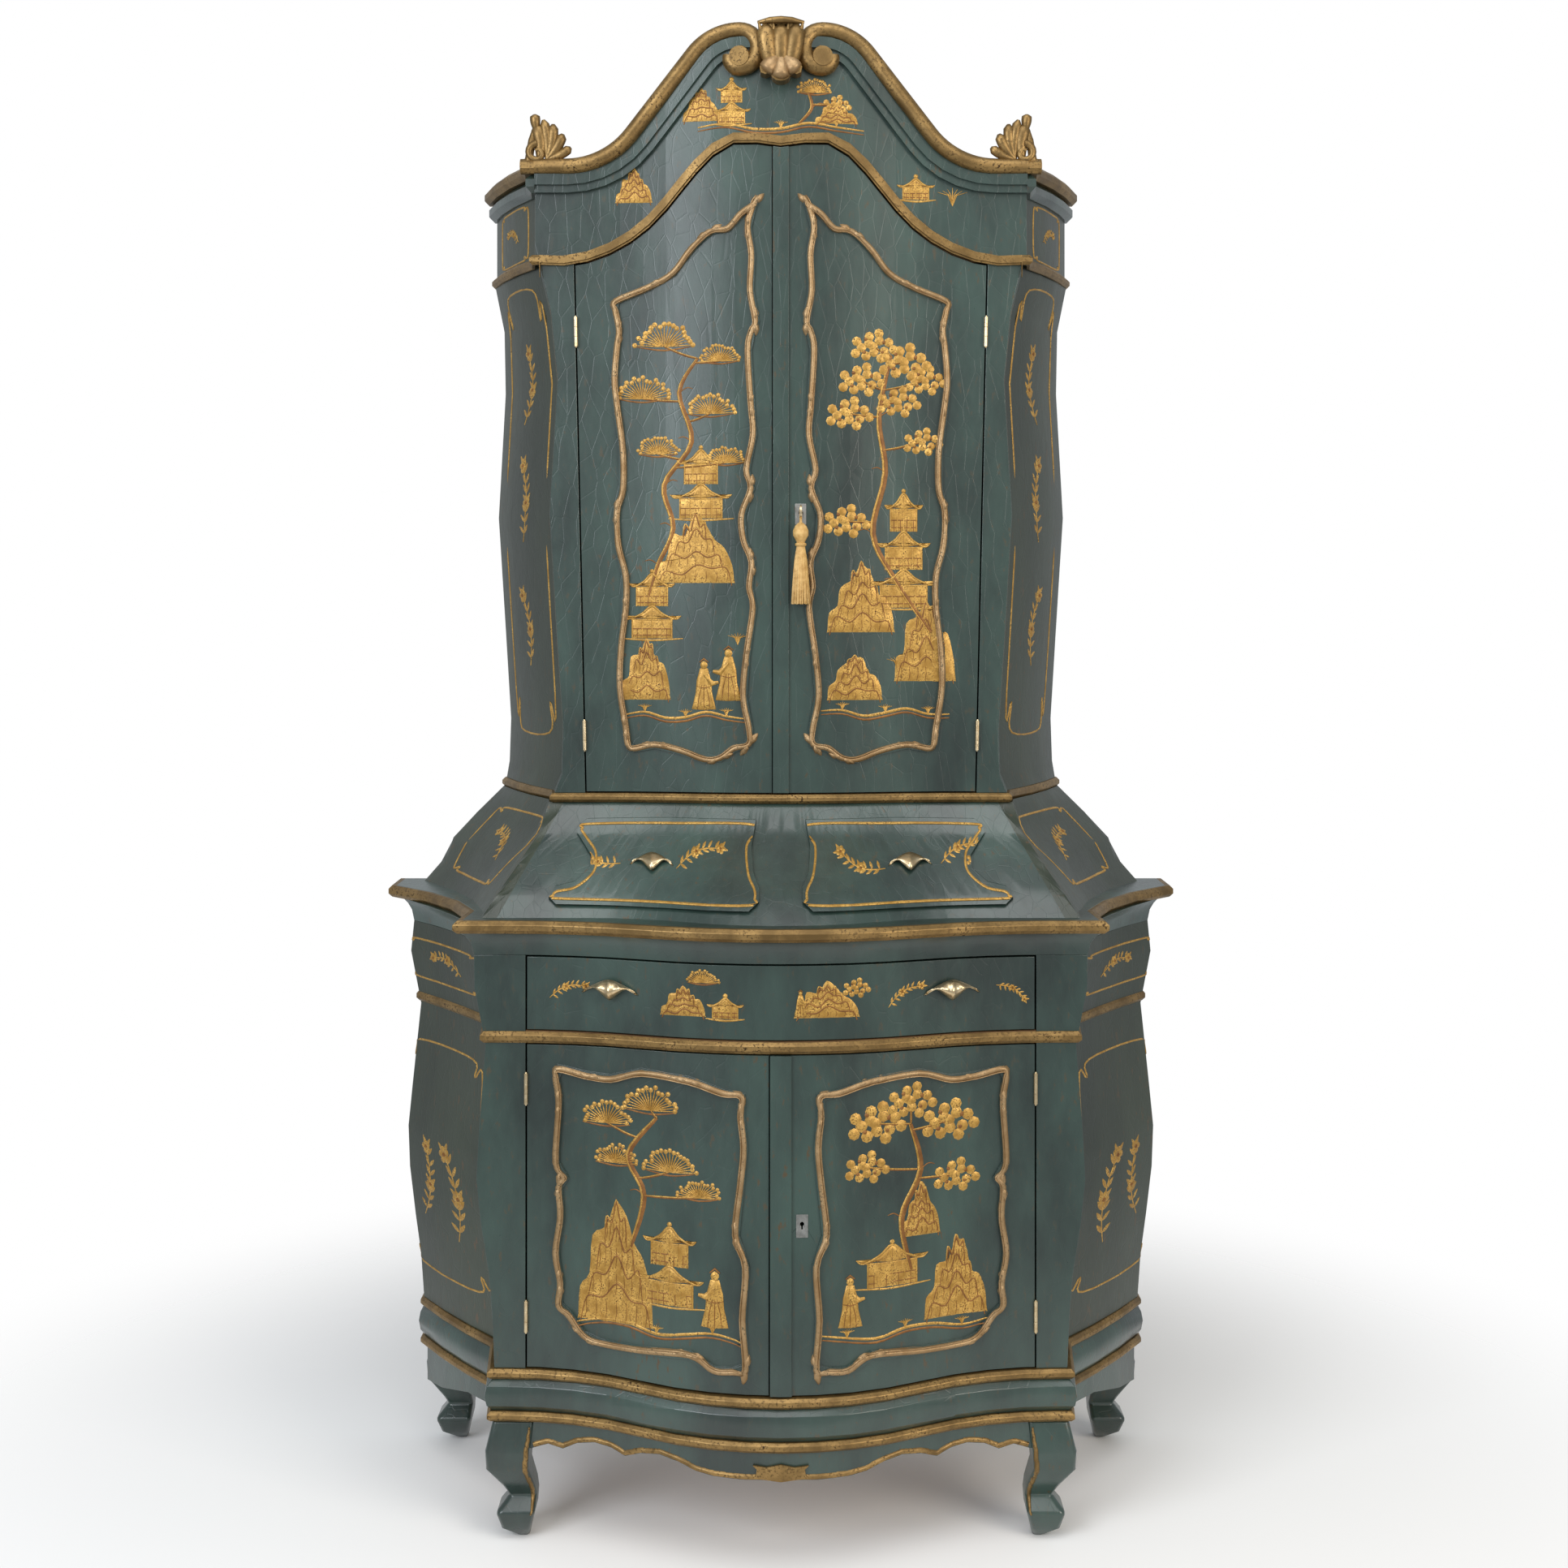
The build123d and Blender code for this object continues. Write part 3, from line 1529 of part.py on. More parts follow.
with BuildPart() as hinge_leaves_lower_left:
    add([mirrored(piece) for piece in lower_moving])
hinge_leaves_lower_left.part.label = "hinge_leaves_lower_left"
export_step(hinge_leaves_lower_left.part, "parts/hinge_leaves_lower_left.step")

with BuildPart() as hinge_leaves_upper_right:
    add(upper_moving)
hinge_leaves_upper_right.part.label = "hinge_leaves_upper_right"
export_step(hinge_leaves_upper_right.part, "parts/hinge_leaves_upper_right.step")

with BuildPart() as hinge_leaves_upper_left:
    add([mirrored(piece) for piece in upper_moving])
hinge_leaves_upper_left.part.label = "hinge_leaves_upper_left"
export_step(hinge_leaves_upper_left.part, "parts/hinge_leaves_upper_left.step")


# Locks on the backs of the right doors, with sliding bolts and keeps on the left doors
def lock_bolt(edge, level, back):
    """Bolt of a lock, drawn back, above the keyhole."""
    low = level + lock_bolt_rise
    near = back + lock_front_wall + lock_play
    far = near + lock_bolt_thickness
    left = edge + lock_set
    return block(left, left + lock_bolt_length, near, far, low, low + lock_bolt_height)


def lock_case(edge, level, back, door):
    """Case of a lock with a channel for the bolt and room for the key's bit."""
    left = edge + lock_set
    near = back + lock_front_wall
    case_low = level - lock_height / 2
    channel_low = level + lock_bolt_rise - lock_play
    channel_high = channel_low + lock_bolt_height + 2 * lock_play
    right = left + lock_bolt_length + lock_play
    with BuildPart() as case:
        near_face = back - lock_front_wall
        case_high = case_low + lock_height
        add(block(left, left + lock_width, near_face, back + lock_depth, case_low, case_high))
        add(door, mode=Mode.SUBTRACT)
        far = near + lock_room
        add(block(left - overrun, right, near, far, channel_low, channel_high), mode=Mode.SUBTRACT)
        with BuildSketch(Plane.XZ.offset(-near)):
            with Locations((keyhole_offset, level)):
                Circle(key_radius + key_bit_width + 2 * lock_play)
        extrude(amount=-lock_room, mode=Mode.SUBTRACT)
        add(keyhole(level), mode=Mode.SUBTRACT)
    return case.part


def lock_keep(edge, level, back, door):
    """Keep for the bolt, on the back of the left door."""
    right = edge - meeting_gap - lock_set
    low = level + lock_bolt_rise - keep_wall
    high = level + lock_bolt_rise + lock_bolt_height + keep_wall
    near = back + lock_front_wall
    pocket_left = edge + lock_set - lock_bolt_throw - lock_set
    pocket_low = low + keep_wall - lock_play
    pocket_high = high - keep_wall + lock_play
    with BuildPart() as keep:
        add(block(right - keep_width, right, back - lock_front_wall, back + lock_depth, low, high))
        add(door, mode=Mode.SUBTRACT)
        add(block(pocket_left, edge, near, near + lock_room, pocket_low, pocket_high), mode=Mode.SUBTRACT)
    return keep.part


def escutcheon(form, level):
    """Steel plate round a keyhole on the front of a door."""
    half = escutcheon_width / 2
    low = level - escutcheon_height / 2 - key_hole_radius
    plate = rectangle(keyhole_offset - half, keyhole_offset + half, low, low + escutcheon_height)
    with BuildPart() as piece:
        add(front_skin(form, escutcheon_thickness, plate))
        add(keyhole(level), mode=Mode.SUBTRACT)
    return piece.part


with BuildPart() as lower_lock:
    add(lock_case(lower_edge, lower_key_level, lower_door_back, lower_board_right))
    add(escutcheon(lower_form.part, lower_key_level))
lower_lock.part.label = "lower_lock"
export_step(lower_lock.part, "parts/lower_lock.step")

with BuildPart() as upper_lock:
    add(lock_case(upper_edge, upper_key_level, upper_door_back, upper_board_right))
    add(escutcheon(upper_face.part, upper_key_level))
upper_lock.part.label = "upper_lock"
export_step(upper_lock.part, "parts/upper_lock.step")

with BuildPart() as lower_lock_bolt:
    add(lock_bolt(lower_edge, lower_key_level, lower_door_back))
lower_lock_bolt.part.label = "lower_lock_bolt"
export_step(lower_lock_bolt.part, "parts/lower_lock_bolt.step")

with BuildPart() as upper_lock_bolt:
    add(lock_bolt(upper_edge, upper_key_level, upper_door_back))
upper_lock_bolt.part.label = "upper_lock_bolt"
export_step(upper_lock_bolt.part, "parts/upper_lock_bolt.step")

with BuildPart() as lower_keep:
    add(lock_keep(lower_edge, lower_key_level, lower_door_back, lower_board_left))
lower_keep.part.label = "lower_keep"
export_step(lower_keep.part, "parts/lower_keep.step")

with BuildPart() as upper_keep:
    add(lock_keep(upper_edge, upper_key_level, upper_door_back, upper_board_left))
upper_keep.part.label = "upper_keep"
export_step(upper_keep.part, "parts/upper_keep.step")

# Key: a pierced bow in an upright plane, a stem through the door and a bit in the lock
key_end = upper_door_back + lock_front_wall + lock_room - lock_play
bow_centre = upper_door_face - key_reach - key_bow_inner
with BuildPart() as key:
    with BuildSketch(Plane.XZ.offset(-key_end)):
        with Locations((keyhole_offset, upper_key_level)):
            Circle(key_radius)
    extrude(amount=key_end - upper_door_face + key_reach)
    bit_half = key_bit_thickness / 2
    bit_low = upper_key_level - key_radius - key_bit_width
    add(
        block(
            keyhole_offset - bit_half,
            keyhole_offset + bit_half,
            key_end - key_bit_length,
            key_end,
            bit_low,
            upper_key_level,
        )
    )
    with BuildSketch(Plane.YZ.offset(keyhole_offset - key_bow_thickness / 2)):
        with Locations((bow_centre, upper_key_level)):
            Circle(key_bow_radius)
            Circle(key_bow_inner, mode=Mode.SUBTRACT)
    extrude(amount=key_bow_thickness)
key.part.label = "key"
export_step(key.part, "parts/key.step")

# Tassel on a loop round the stem: shares of length, half width
tassel_shares = [(0, 0.12), (0.07, 0.5), (0.14, 0.34), (0.5, 0.76), (1, 1)]
tassel_y = upper_door_face - tassel_stand
loop_inner = key_radius + tassel_loop_play
loop_outer = loop_inner + tassel_cord
tassel_top = upper_key_level - loop_outer - tassel_drop
with BuildPart() as tassel_body:
    with BuildSketch(Plane.XZ.offset(-tassel_y)):
        with BuildLine():
            across = [keyhole_offset + share * tassel_radius for height, share in tassel_shares]
            up = [tassel_top - height * tassel_length for height, share in tassel_shares]
            top = (keyhole_offset, tassel_top)
            foot = (keyhole_offset, tassel_top - tassel_length)
            Polyline(top, *zip(across, up), foot, close=True)
        make_face()
    revolve(axis=Axis((keyhole_offset, tassel_y, 0), (0, 0, 1)))

with BuildPart() as tassel:
    with BuildSketch(Plane.XZ.offset(-tassel_y - tassel_cord / 2)):
        with Locations((keyhole_offset, upper_key_level)):
            Circle(loop_outer)
            Circle(loop_inner, mode=Mode.SUBTRACT)
    extrude(amount=tassel_cord)
    cord_half = tassel_cord / 2
    add(
        block(
            keyhole_offset - cord_half,
            keyhole_offset + cord_half,
            tassel_y - cord_half,
            tassel_y + cord_half,
            tassel_top - cord_half,
            upper_key_level - loop_inner - touch,
        )
    )
    add(tassel_body.part)
tassel.part.label = "tassel"
export_step(tassel.part, "parts/tassel.step")

# Long drawer: bowed front, and a box whose bottom follows the front
drawer_half = lower_opening - drawer_play
drawer_low = drawer_level + touch
drawer_front_low = drawer_level + drawer_play
drawer_front_high = drawer_head - drawer_play
with BuildPart() as long_drawer_front:
    outline = rectangle(-drawer_half, drawer_half, drawer_front_low, drawer_front_high)
    add(front_board(lower_form.part, front_thickness, outline))
long_drawer_front.part.label = "long_drawer_front"
export_step(long_drawer_front.part, "parts/long_drawer_front.step")

drawer_back = corner_y + front_thickness + drawer_depth
with BuildPart() as drawer_space:
    with Locations((0, front_thickness, 0)):
        add(lower_form.part)
    add(
        block(
            -drawer_half,
            drawer_half,
            -case_depth,
            drawer_back,
            drawer_front_low,
            drawer_low + drawer_box_height,
        ),
        mode=Mode.INTERSECT,
    )

drawer_inner = drawer_half - board
bottom_low = drawer_front_low + drawer_play
bottom_high = bottom_low + thin_board
with BuildPart() as drawer_bottom:
    add(drawer_space.part)
    add(
        block(-drawer_inner, drawer_inner, -case_depth, drawer_back - board, bottom_low, bottom_high),
        mode=Mode.INTERSECT,
    )

side_high = drawer_low + drawer_box_height
with BuildPart() as drawer_side:
    add(block(drawer_inner, drawer_half, -case_depth, drawer_back, drawer_low, side_high))
    with Locations((0, front_thickness, 0)):
        add(lower_form.part, mode=Mode.INTERSECT)

with BuildPart() as long_drawer_box:
    add(block(-drawer_inner, drawer_inner, drawer_back - board, drawer_back, bottom_low, side_high))
    add(drawer_bottom.part)
    add([drawer_side.part, mirrored(drawer_side.part)])
long_drawer_box.part.label = "long_drawer_box"
export_step(long_drawer_box.part, "parts/long_drawer_box.step")


# Leaf-shaped pulls: shares of half width and height, from the foot round to the top
pull_shares = [
    (0, 0),
    (0.12, -0.02),
    (0.2, 0.12),
    (0.6, 0.08),
    (1, 0.36),
    (0.62, 0.62),
    (0.34, 0.9),
    (0.16, 1.02),
    (0, 1),
]
pull_step_shares = [(0.5, 1), (0.8, 0.78), (1, 0.5)]


def face_plane(form, x, level, span, proud=0):
    """Plane that touches the front of a form at one spot and faces outward."""
    middle = Vector(x, front_of(form, x, level) - proud, level)
    right = Vector(x + span, front_of(form, x + span, level) - proud, level)
    top = Vector(x, front_of(form, x, level + span) - proud, level + span)
    across = right - middle
    return Plane(origin=middle, x_dir=across, z_dir=across.cross(top - middle))


def shell_pull(width, height, proud, plane):
    """Leaf-shaped pull that narrows towards its front and is rooted below its plane."""
    with BuildPart() as pull:
        for reach, size in pull_step_shares:
            with BuildSketch(plane.offset(-pull_root)):
                with BuildLine():
                    wide = size * width / 2
                    Polyline(*[(u * wide, (v * size - 1 / 2) * height) for u, v in pull_shares])
                    mirror(about=Plane.YZ)
                make_face()
            extrude(amount=reach * (proud + pull_root))
    return pull.part


pull_level = drawer_front_low + pull_rise
large_plane = face_plane(lower_form.part, pull_spread / 2, pull_level, pull_height / 2)
large_pull = shell_pull(pull_width, pull_height, pull_proud, large_plane)
with BuildPart() as long_drawer_pulls:
    add([large_pull, mirrored(large_pull)])
    add(long_drawer_front.part, mode=Mode.SUBTRACT)
long_drawer_pulls.part.label = "long_drawer_pulls"
export_step(long_drawer_pulls.part, "parts/long_drawer_pulls.step")

# Guides beside the long drawer, and bearers that carry the small drawers
guide_near = drawer_half + guide_play
with BuildPart() as long_guide:
    add(
        block(
            guide_near,
            guide_near + board,
            pilaster_back,
            inner_back,
            drawer_level,
            drawer_level + guide_height,
        )
    )

small_back = upper_y + slope_drawer_depth
bearer_base = box_base - touch
with BuildPart() as bearer:
    for x in (slope_box_inner, slope_box_inner + slope_box_width - small_board):
        add(block(x, x + small_board, -case_depth, inner_back, slope_level, bearer_base))
    add(slope_core.part, mode=Mode.INTERSECT)

with BuildPart() as drawer_runners:
    add([long_guide.part, bearer.part])
    add([mirrored(long_guide.part), mirrored(bearer.part)])
drawer_runners.part.label = "drawer_runners"
export_step(drawer_runners.part, "parts/drawer_runners.step")

# Back board of the sloped part
with BuildPart() as slope_back:
    add(slope_core.part)
    add(block(-slope_side, slope_side, inner_back, back_y, slope_level, base_level), mode=Mode.INTERSECT)
slope_back.part.label = "slope_back"
export_step(slope_back.part, "parts/slope_back.step")

# Small drawer fronts: shares of front width and height, from the inner top corner
slope_front_shares = [
    (0, 1),
    (0.42, 1.01),
    (0.84, 0.99),
    (0.88, 0.92),
    (0.89, 0.83),
    (0.85, 0.7),
    (0.81, 0.57),
    (0.81, 0.42),
    (0.88, 0.27),
    (0.97, 0.22),
    (1, 0.11),
    (0.96, 0.02),
    (0.5, 0),
    (0.03, 0.01),
    (-0.02, 0.12),
    (-0.02, 0.26),
    (0.01, 0.42),
    (0.02, 0.7),
]
front_low = slope_level + slope_front_base
across = [slope_front_inner + x * slope_front_width for x, z in slope_front_shares]
up = [front_low + z * slope_front_height for x, z in slope_front_shares]
slope_front_outline = polygon(list(zip(across, up)))

lip_front = lip_play + lip_thickness
slope_box_outer = slope_box_inner + slope_box_width
box_high = box_base + slope_box_height
with BuildPart() as small_front:
    add(front_skin(slope_form.part, lip_front, slope_front_outline, start=lip_play))

# Small drawer boxes: a sloped board behind the front, then sides, rear and base
with BuildPart() as small_plug:
    with Locations((0, -lip_play, 0)):
        add(slope_form.part)
    with Locations((0, front_thickness, 0)):
        add(slope_form.part, mode=Mode.SUBTRACT)
    plug_outline = rectangle(slope_box_inner, slope_box_outer, box_base, box_high)
    add(prism(plug_outline), mode=Mode.INTERSECT)

box_left = slope_box_inner + small_board
box_right = slope_box_outer - small_board
box_sides = [
    block(slope_box_inner, box_left, -case_depth, small_back, box_base, box_high),
    block(box_right, slope_box_outer, -case_depth, small_back, box_base, box_high),
    block(box_left, box_right, -case_depth, small_back, box_base, box_base + thin_board),
]
with BuildPart() as small_tray:
    with Locations((0, front_thickness, 0)):
        add(slope_form.part)
    add(box_sides, mode=Mode.INTERSECT)

with BuildPart() as small_box:
    add([small_plug.part, small_tray.part])
    add(block(box_left, box_right, small_back - small_board, small_back, box_base, box_high))

small_plane = face_plane(
    slope_form.part, small_pull_offset, slope_level + small_pull_level, small_pull_height / 2, lip_front
)
with BuildPart() as small_pull:
    add(shell_pull(small_pull_width, small_pull_height, small_pull_proud, small_plane))
    add(small_front.part, mode=Mode.SUBTRACT)

with BuildPart() as small_drawer_front_right:
    add(small_front.part)
small_drawer_front_right.part.label = "small_drawer_front_right"
export_step(small_drawer_front_right.part, "parts/small_drawer_front_right.step")

with BuildPart() as small_drawer_front_left:
    add(mirrored(small_front.part))
small_drawer_front_left.part.label = "small_drawer_front_left"
export_step(small_drawer_front_left.part, "parts/small_drawer_front_left.step")

with BuildPart() as small_drawer_box_right:
    add(small_box.part)
small_drawer_box_right.part.label = "small_drawer_box_right"
export_step(small_drawer_box_right.part, "parts/small_drawer_box_right.step")

with BuildPart() as small_drawer_box_left:
    add(mirrored(small_box.part))
small_drawer_box_left.part.label = "small_drawer_box_left"
export_step(small_drawer_box_left.part, "parts/small_drawer_box_left.step")

with BuildPart() as small_drawer_pull_right:
    add(small_pull.part)
small_drawer_pull_right.part.label = "small_drawer_pull_right"
export_step(small_drawer_pull_right.part, "parts/small_drawer_pull_right.step")

with BuildPart() as small_drawer_pull_left:
    add(mirrored(small_pull.part))
small_drawer_pull_left.part.label = "small_drawer_pull_left"
export_step(small_drawer_pull_left.part, "parts/small_drawer_pull_left.step")
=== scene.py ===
import json
import math
import random
import bmesh
import bpy
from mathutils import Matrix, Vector
from mathutils.bvhtree import BVHTree


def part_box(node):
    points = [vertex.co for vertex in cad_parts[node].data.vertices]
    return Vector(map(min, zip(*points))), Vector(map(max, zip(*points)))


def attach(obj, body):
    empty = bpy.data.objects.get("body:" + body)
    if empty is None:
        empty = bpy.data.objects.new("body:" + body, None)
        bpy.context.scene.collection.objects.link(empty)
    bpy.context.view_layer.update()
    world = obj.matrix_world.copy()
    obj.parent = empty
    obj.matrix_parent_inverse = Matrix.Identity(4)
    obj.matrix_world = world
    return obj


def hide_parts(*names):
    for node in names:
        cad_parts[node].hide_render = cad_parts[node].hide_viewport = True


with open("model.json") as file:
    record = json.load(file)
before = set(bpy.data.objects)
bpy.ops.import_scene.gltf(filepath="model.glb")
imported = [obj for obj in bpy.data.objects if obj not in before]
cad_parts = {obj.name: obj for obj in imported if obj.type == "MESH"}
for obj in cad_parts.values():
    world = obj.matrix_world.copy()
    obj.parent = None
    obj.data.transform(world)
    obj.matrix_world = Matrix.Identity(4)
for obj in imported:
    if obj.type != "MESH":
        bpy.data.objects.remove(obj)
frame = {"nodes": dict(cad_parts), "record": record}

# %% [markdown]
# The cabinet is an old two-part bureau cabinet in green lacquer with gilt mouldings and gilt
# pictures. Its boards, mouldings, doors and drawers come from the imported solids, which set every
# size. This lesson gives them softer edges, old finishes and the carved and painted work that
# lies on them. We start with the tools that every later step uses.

MM = 0.001
JOIN = 0.00002  # points closer than this are one point
OUTSIDE = 2  # rays start this far out, clear of the cabinet
PATCH_STEP = 0.012  # longest side of a face at the rim of a filled shape
scene = bpy.context.scene
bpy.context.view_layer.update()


def linear(code):
    """sRGB hex colour as a linear colour for a shader."""
    parts = [int(code[i:i + 2], 16) / 255 for i in (1, 3, 5)]
    return [c / 12.92 if c <= 0.04045 else ((c + 0.055) / 1.055) ** 2.4 for c in parts] + [1]


def add(tree, kind, inputs=None, **settings):
    """Add one node, with its settings, values and links."""
    node = tree.nodes.new(kind)
    for name, value in settings.items():
        setattr(node, name, value)
    for key, value in (inputs or {}).items():
        if isinstance(value, bpy.types.NodeSocket):
            tree.links.new(value, node.inputs[key])
        else:
            node.inputs[key].default_value = value
    return node


# %% [markdown]
# A photograph of a tall cabinet is taken from far enough away that its sides hardly converge.
# Here the eye is level with the doors at 1.5 m, 3.35 m in front of the middle of the cabinet.
# The lens stays level, so upright lines stay upright, and the picture is shifted downward instead.

# %% Camera
distance, eye_height = 3.35, 1.5025
lens_data = bpy.data.cameras.new("camera")
lens_data.lens = 47.1
lens_data.sensor_width = 36
lens_data.shift_x = 0.002
lens_data.shift_y = -0.129
camera = bpy.data.objects.new("camera", lens_data)
camera.location = (0, -distance, eye_height)
camera.rotation_euler = (math.pi / 2, 0, 0)
scene.collection.objects.link(camera)
scene.camera = camera
scene.view_settings.view_transform = "Standard"
print("camera", tuple(camera.location))

# %% [markdown]
# Old lacquer is photographed in broad soft light: one large source on each side gives the long
# pale sheen on the doors, and a weak one above keeps the cornice from going dark. The world fills
# the shadows and shows white to the lens, because the room behind is a plain pale one.

# %% Light, world and floor
def lamp(name, place, aim, size, power, colour):
    """A square soft light that points at a spot."""
    data = bpy.data.lights.new(name, "AREA")
    data.size = size
    data.energy = power
    data.color = linear(colour)[:3]
    light = bpy.data.objects.new(name, data)
    light.location = place
    light.rotation_euler = (Vector(aim) - Vector(place)).to_track_quat("-Z", "Y").to_euler()
    scene.collection.objects.link(light)


lamp("left_softbox", (-2.6, -3.4, 2.6), (0, 0, 1.2), 2.2, 120, "#f4f8ff")
lamp("right_softbox", (2.8, -3.0, 2.2), (0, 0, 1.1), 2.0, 80, "#fff6ea")
lamp("top_softbox", (0, -1.8, 4.2), (0, 0, 1.6), 2.4, 60, "#ffffff")

world = bpy.data.worlds.new("pale_room")
scene.world = world
world.use_nodes = True
sky = world.node_tree
sky.nodes.clear()
rays = add(sky, "ShaderNodeLightPath")
fill = add(sky, "ShaderNodeBackground", {"Color": linear("#e9eef2"), "Strength": 0.55})
white = add(sky, "ShaderNodeBackground", {"Color": linear("#ffffff"), "Strength": 1.0})
seen = add(
    sky, "ShaderNodeMath", {0: rays.outputs["Is Camera Ray"], 1: rays.outputs["Is Transmission Ray"]},
    operation="MAXIMUM",
)
both = add(sky, "ShaderNodeMixShader", {0: seen.outputs[0], 1: fill.outputs[0], 2: white.outputs[0]})
add(sky, "ShaderNodeOutputWorld", {"Surface": both.outputs[0]})

floor_mesh = bpy.data.meshes.new("floor")
floor_mesh.from_pydata([(-9, -6, 0), (9, -6, 0), (9, 9, 0), (-9, 9, 0)], [], [(0, 1, 2, 3)])
floor = bpy.data.objects.new("floor", floor_mesh)
scene.collection.objects.link(floor)
paper = bpy.data.materials.new("pale_floor")
paper.use_nodes = True
tree = paper.node_tree
paint = tree.nodes["Principled BSDF"]
paint.inputs["Base Color"].default_value = linear("#f4f3f1")
paint.inputs["Roughness"].default_value = 0.8
place = add(tree, "ShaderNodeTexCoord")
reach = add(tree, "ShaderNodeVectorMath", {0: place.outputs["Object"]}, operation="LENGTH")
fade = add(
    tree, "ShaderNodeMapRange", {"Value": reach.outputs["Value"], "From Min": 0.9, "From Max": 1.9},
    interpolation_type="SMOOTHSTEP",
)
clear = add(tree, "ShaderNodeBsdfTransparent")
blend = add(tree, "ShaderNodeMixShader", {0: fade.outputs[0], 1: paint.outputs[0], 2: clear.outputs[0]})
tree.links.new(blend.outputs[0], tree.nodes["Material Output"].inputs["Surface"])
floor_mesh.materials.append(paper)
print("lights and floor are in place")

# %% [markdown]
# Every finish on the cabinet is old and uneven. One recipe makes them all: a cloudy mix of two
# colours a hand's breadth across, a third colour where the surface has worn, roughness that
# changes with the cloud, and a bump for brush marks, cracks or chisel marks. What changes from
# lacquer to gilding is the colours, the metal and the size of each pattern in millimetres.

# %% Recipe for an aged finish
def aged(
    name, base, second, worn, wear, cloud_mm, grain_mm, rough, metal=0.0, bump_mm=0.2,
    stretch=(1, 1, 1), crack_mm=0.0, coat=0.0,
):
    """Material with clouds of two colours, worn spots and a fine bump, all in real sizes."""
    material = bpy.data.materials.new(name)
    material.use_nodes = True
    tree = material.node_tree
    shader = tree.nodes["Principled BSDF"]
    place = add(tree, "ShaderNodeTexCoord")
    scaled = add(tree, "ShaderNodeMapping", {"Vector": place.outputs["Object"], "Scale": stretch})
    clouds = add(
        tree, "ShaderNodeTexNoise",
        {"Vector": scaled.outputs[0], "Scale": 1 / (cloud_mm * MM), "Detail": 5.0, "Roughness": 0.6},
    )
    grain = add(
        tree, "ShaderNodeTexNoise",
        {"Vector": scaled.outputs[0], "Scale": 1 / (grain_mm * MM), "Detail": 4.0, "Roughness": 0.65},
    )
    soft = add(
        tree, "ShaderNodeMapRange", {"Value": clouds.outputs[0], "From Min": 0.35, "From Max": 0.65},
    )
    colour = add(
        tree, "ShaderNodeMix", {0: soft.outputs[0], 6: linear(base), 7: linear(second)},
        data_type="RGBA",
    )
    spots = add(
        tree, "ShaderNodeMapRange",
        {"Value": grain.outputs[0], "From Min": 0.74 - wear, "From Max": 0.8 - wear},
    )
    spread = add(
        tree, "ShaderNodeMath", {0: spots.outputs[0], 1: soft.outputs[0]}, operation="MULTIPLY",
    )
    final = add(
        tree, "ShaderNodeMix", {0: spread.outputs[0], 6: colour.outputs[2], 7: linear(worn)},
        data_type="RGBA",
    )
    tree.links.new(final.outputs[2], shader.inputs["Base Color"])
    gloss = add(
        tree, "ShaderNodeMapRange",
        {"Value": grain.outputs[0], "To Min": rough - 0.08, "To Max": rough + 0.12},
    )
    tree.links.new(gloss.outputs[0], shader.inputs["Roughness"])
    height = grain.outputs[0]
    if crack_mm:
        cells = add(
            tree, "ShaderNodeTexVoronoi", {"Vector": scaled.outputs[0], "Scale": 1 / (crack_mm * MM)},
            feature="DISTANCE_TO_EDGE",
        )
        lines = add(tree, "ShaderNodeMapRange", {"Value": cells.outputs[0], "From Max": 0.03})
        height = add(tree, "ShaderNodeMath", {0: height, 1: lines.outputs[0]}, operation="ADD").outputs[0]
    bump = add(tree, "ShaderNodeBump", {"Height": height, "Strength": 0.5, "Distance": bump_mm * MM})
    tree.links.new(bump.outputs[0], shader.inputs["Normal"])
    shader.inputs["Metallic"].default_value = metal
    shader.inputs["Coat Weight"].default_value = coat
    shader.inputs["Coat Roughness"].default_value = 0.25
    return material


# %% [markdown]
# The lacquer is shellac over dark blue-green paint, brushed on in long strokes and polished: it
# has a soft shine like silk, fine cracks about 20 mm apart and brown spots where the paint has
# lifted. The sides caught more daylight and turned olive. The gilding is gold leaf over red-brown
# clay, so rubbed places look coppery; the raised frames are a paler, pinker gold.

# %% Finishes
lacquer = aged(
    "green_lacquer", "#1b2824", "#32463f", "#47381f", 0.13, 150, 9, 0.3, bump_mm=0.25,
    stretch=(1, 1, 0.4), crack_mm=22, coat=0.5,
)
side_lacquer = aged(
    "olive_lacquer", "#1c2419", "#2a3324", "#4a3820", 0.13, 190, 10, 0.38, bump_mm=0.3,
    stretch=(1, 1, 0.35), crack_mm=24, coat=0.25,
)
gilding = aged(
    "worn_gilding", "#6d5632", "#9a7c4c", "#3a2a18", 0.2, 45, 4, 0.4, metal=0.75, bump_mm=0.35,
)
rose_gilding = aged(
    "rose_gilding", "#8c6f4a", "#a88c66", "#33382c", 0.17, 30, 3, 0.42, metal=0.6, bump_mm=0.4,
)
bright_gold = aged(
    "bright_gold_paint", "#9c7430", "#cda252", "#553816", 0.22, 18, 2.5, 0.42, metal=0.45, bump_mm=0.15,
)
brown_gold = aged(
    "brown_gold_paint", "#6a4218", "#8c5e28", "#2e1c0c", 0.15, 18, 2.5, 0.5, metal=0.3, bump_mm=0.15,
)
pale_bronze = aged(
    "gilt_bronze", "#c8b088", "#e0cda8", "#7a6038", 0.1, 12, 1.5, 0.3, metal=1.0, bump_mm=0.12,
)
old_steel = aged(
    "old_steel", "#8c8c88", "#a8a8a4", "#5a4636", 0.12, 10, 1.5, 0.38, metal=1.0, bump_mm=0.08,
)
pine_wood = aged(
    "bare_pine", "#7a5838", "#96704a", "#4a3220", 0.08, 60, 5, 0.7, bump_mm=0.3, stretch=(0.15, 1, 1),
)
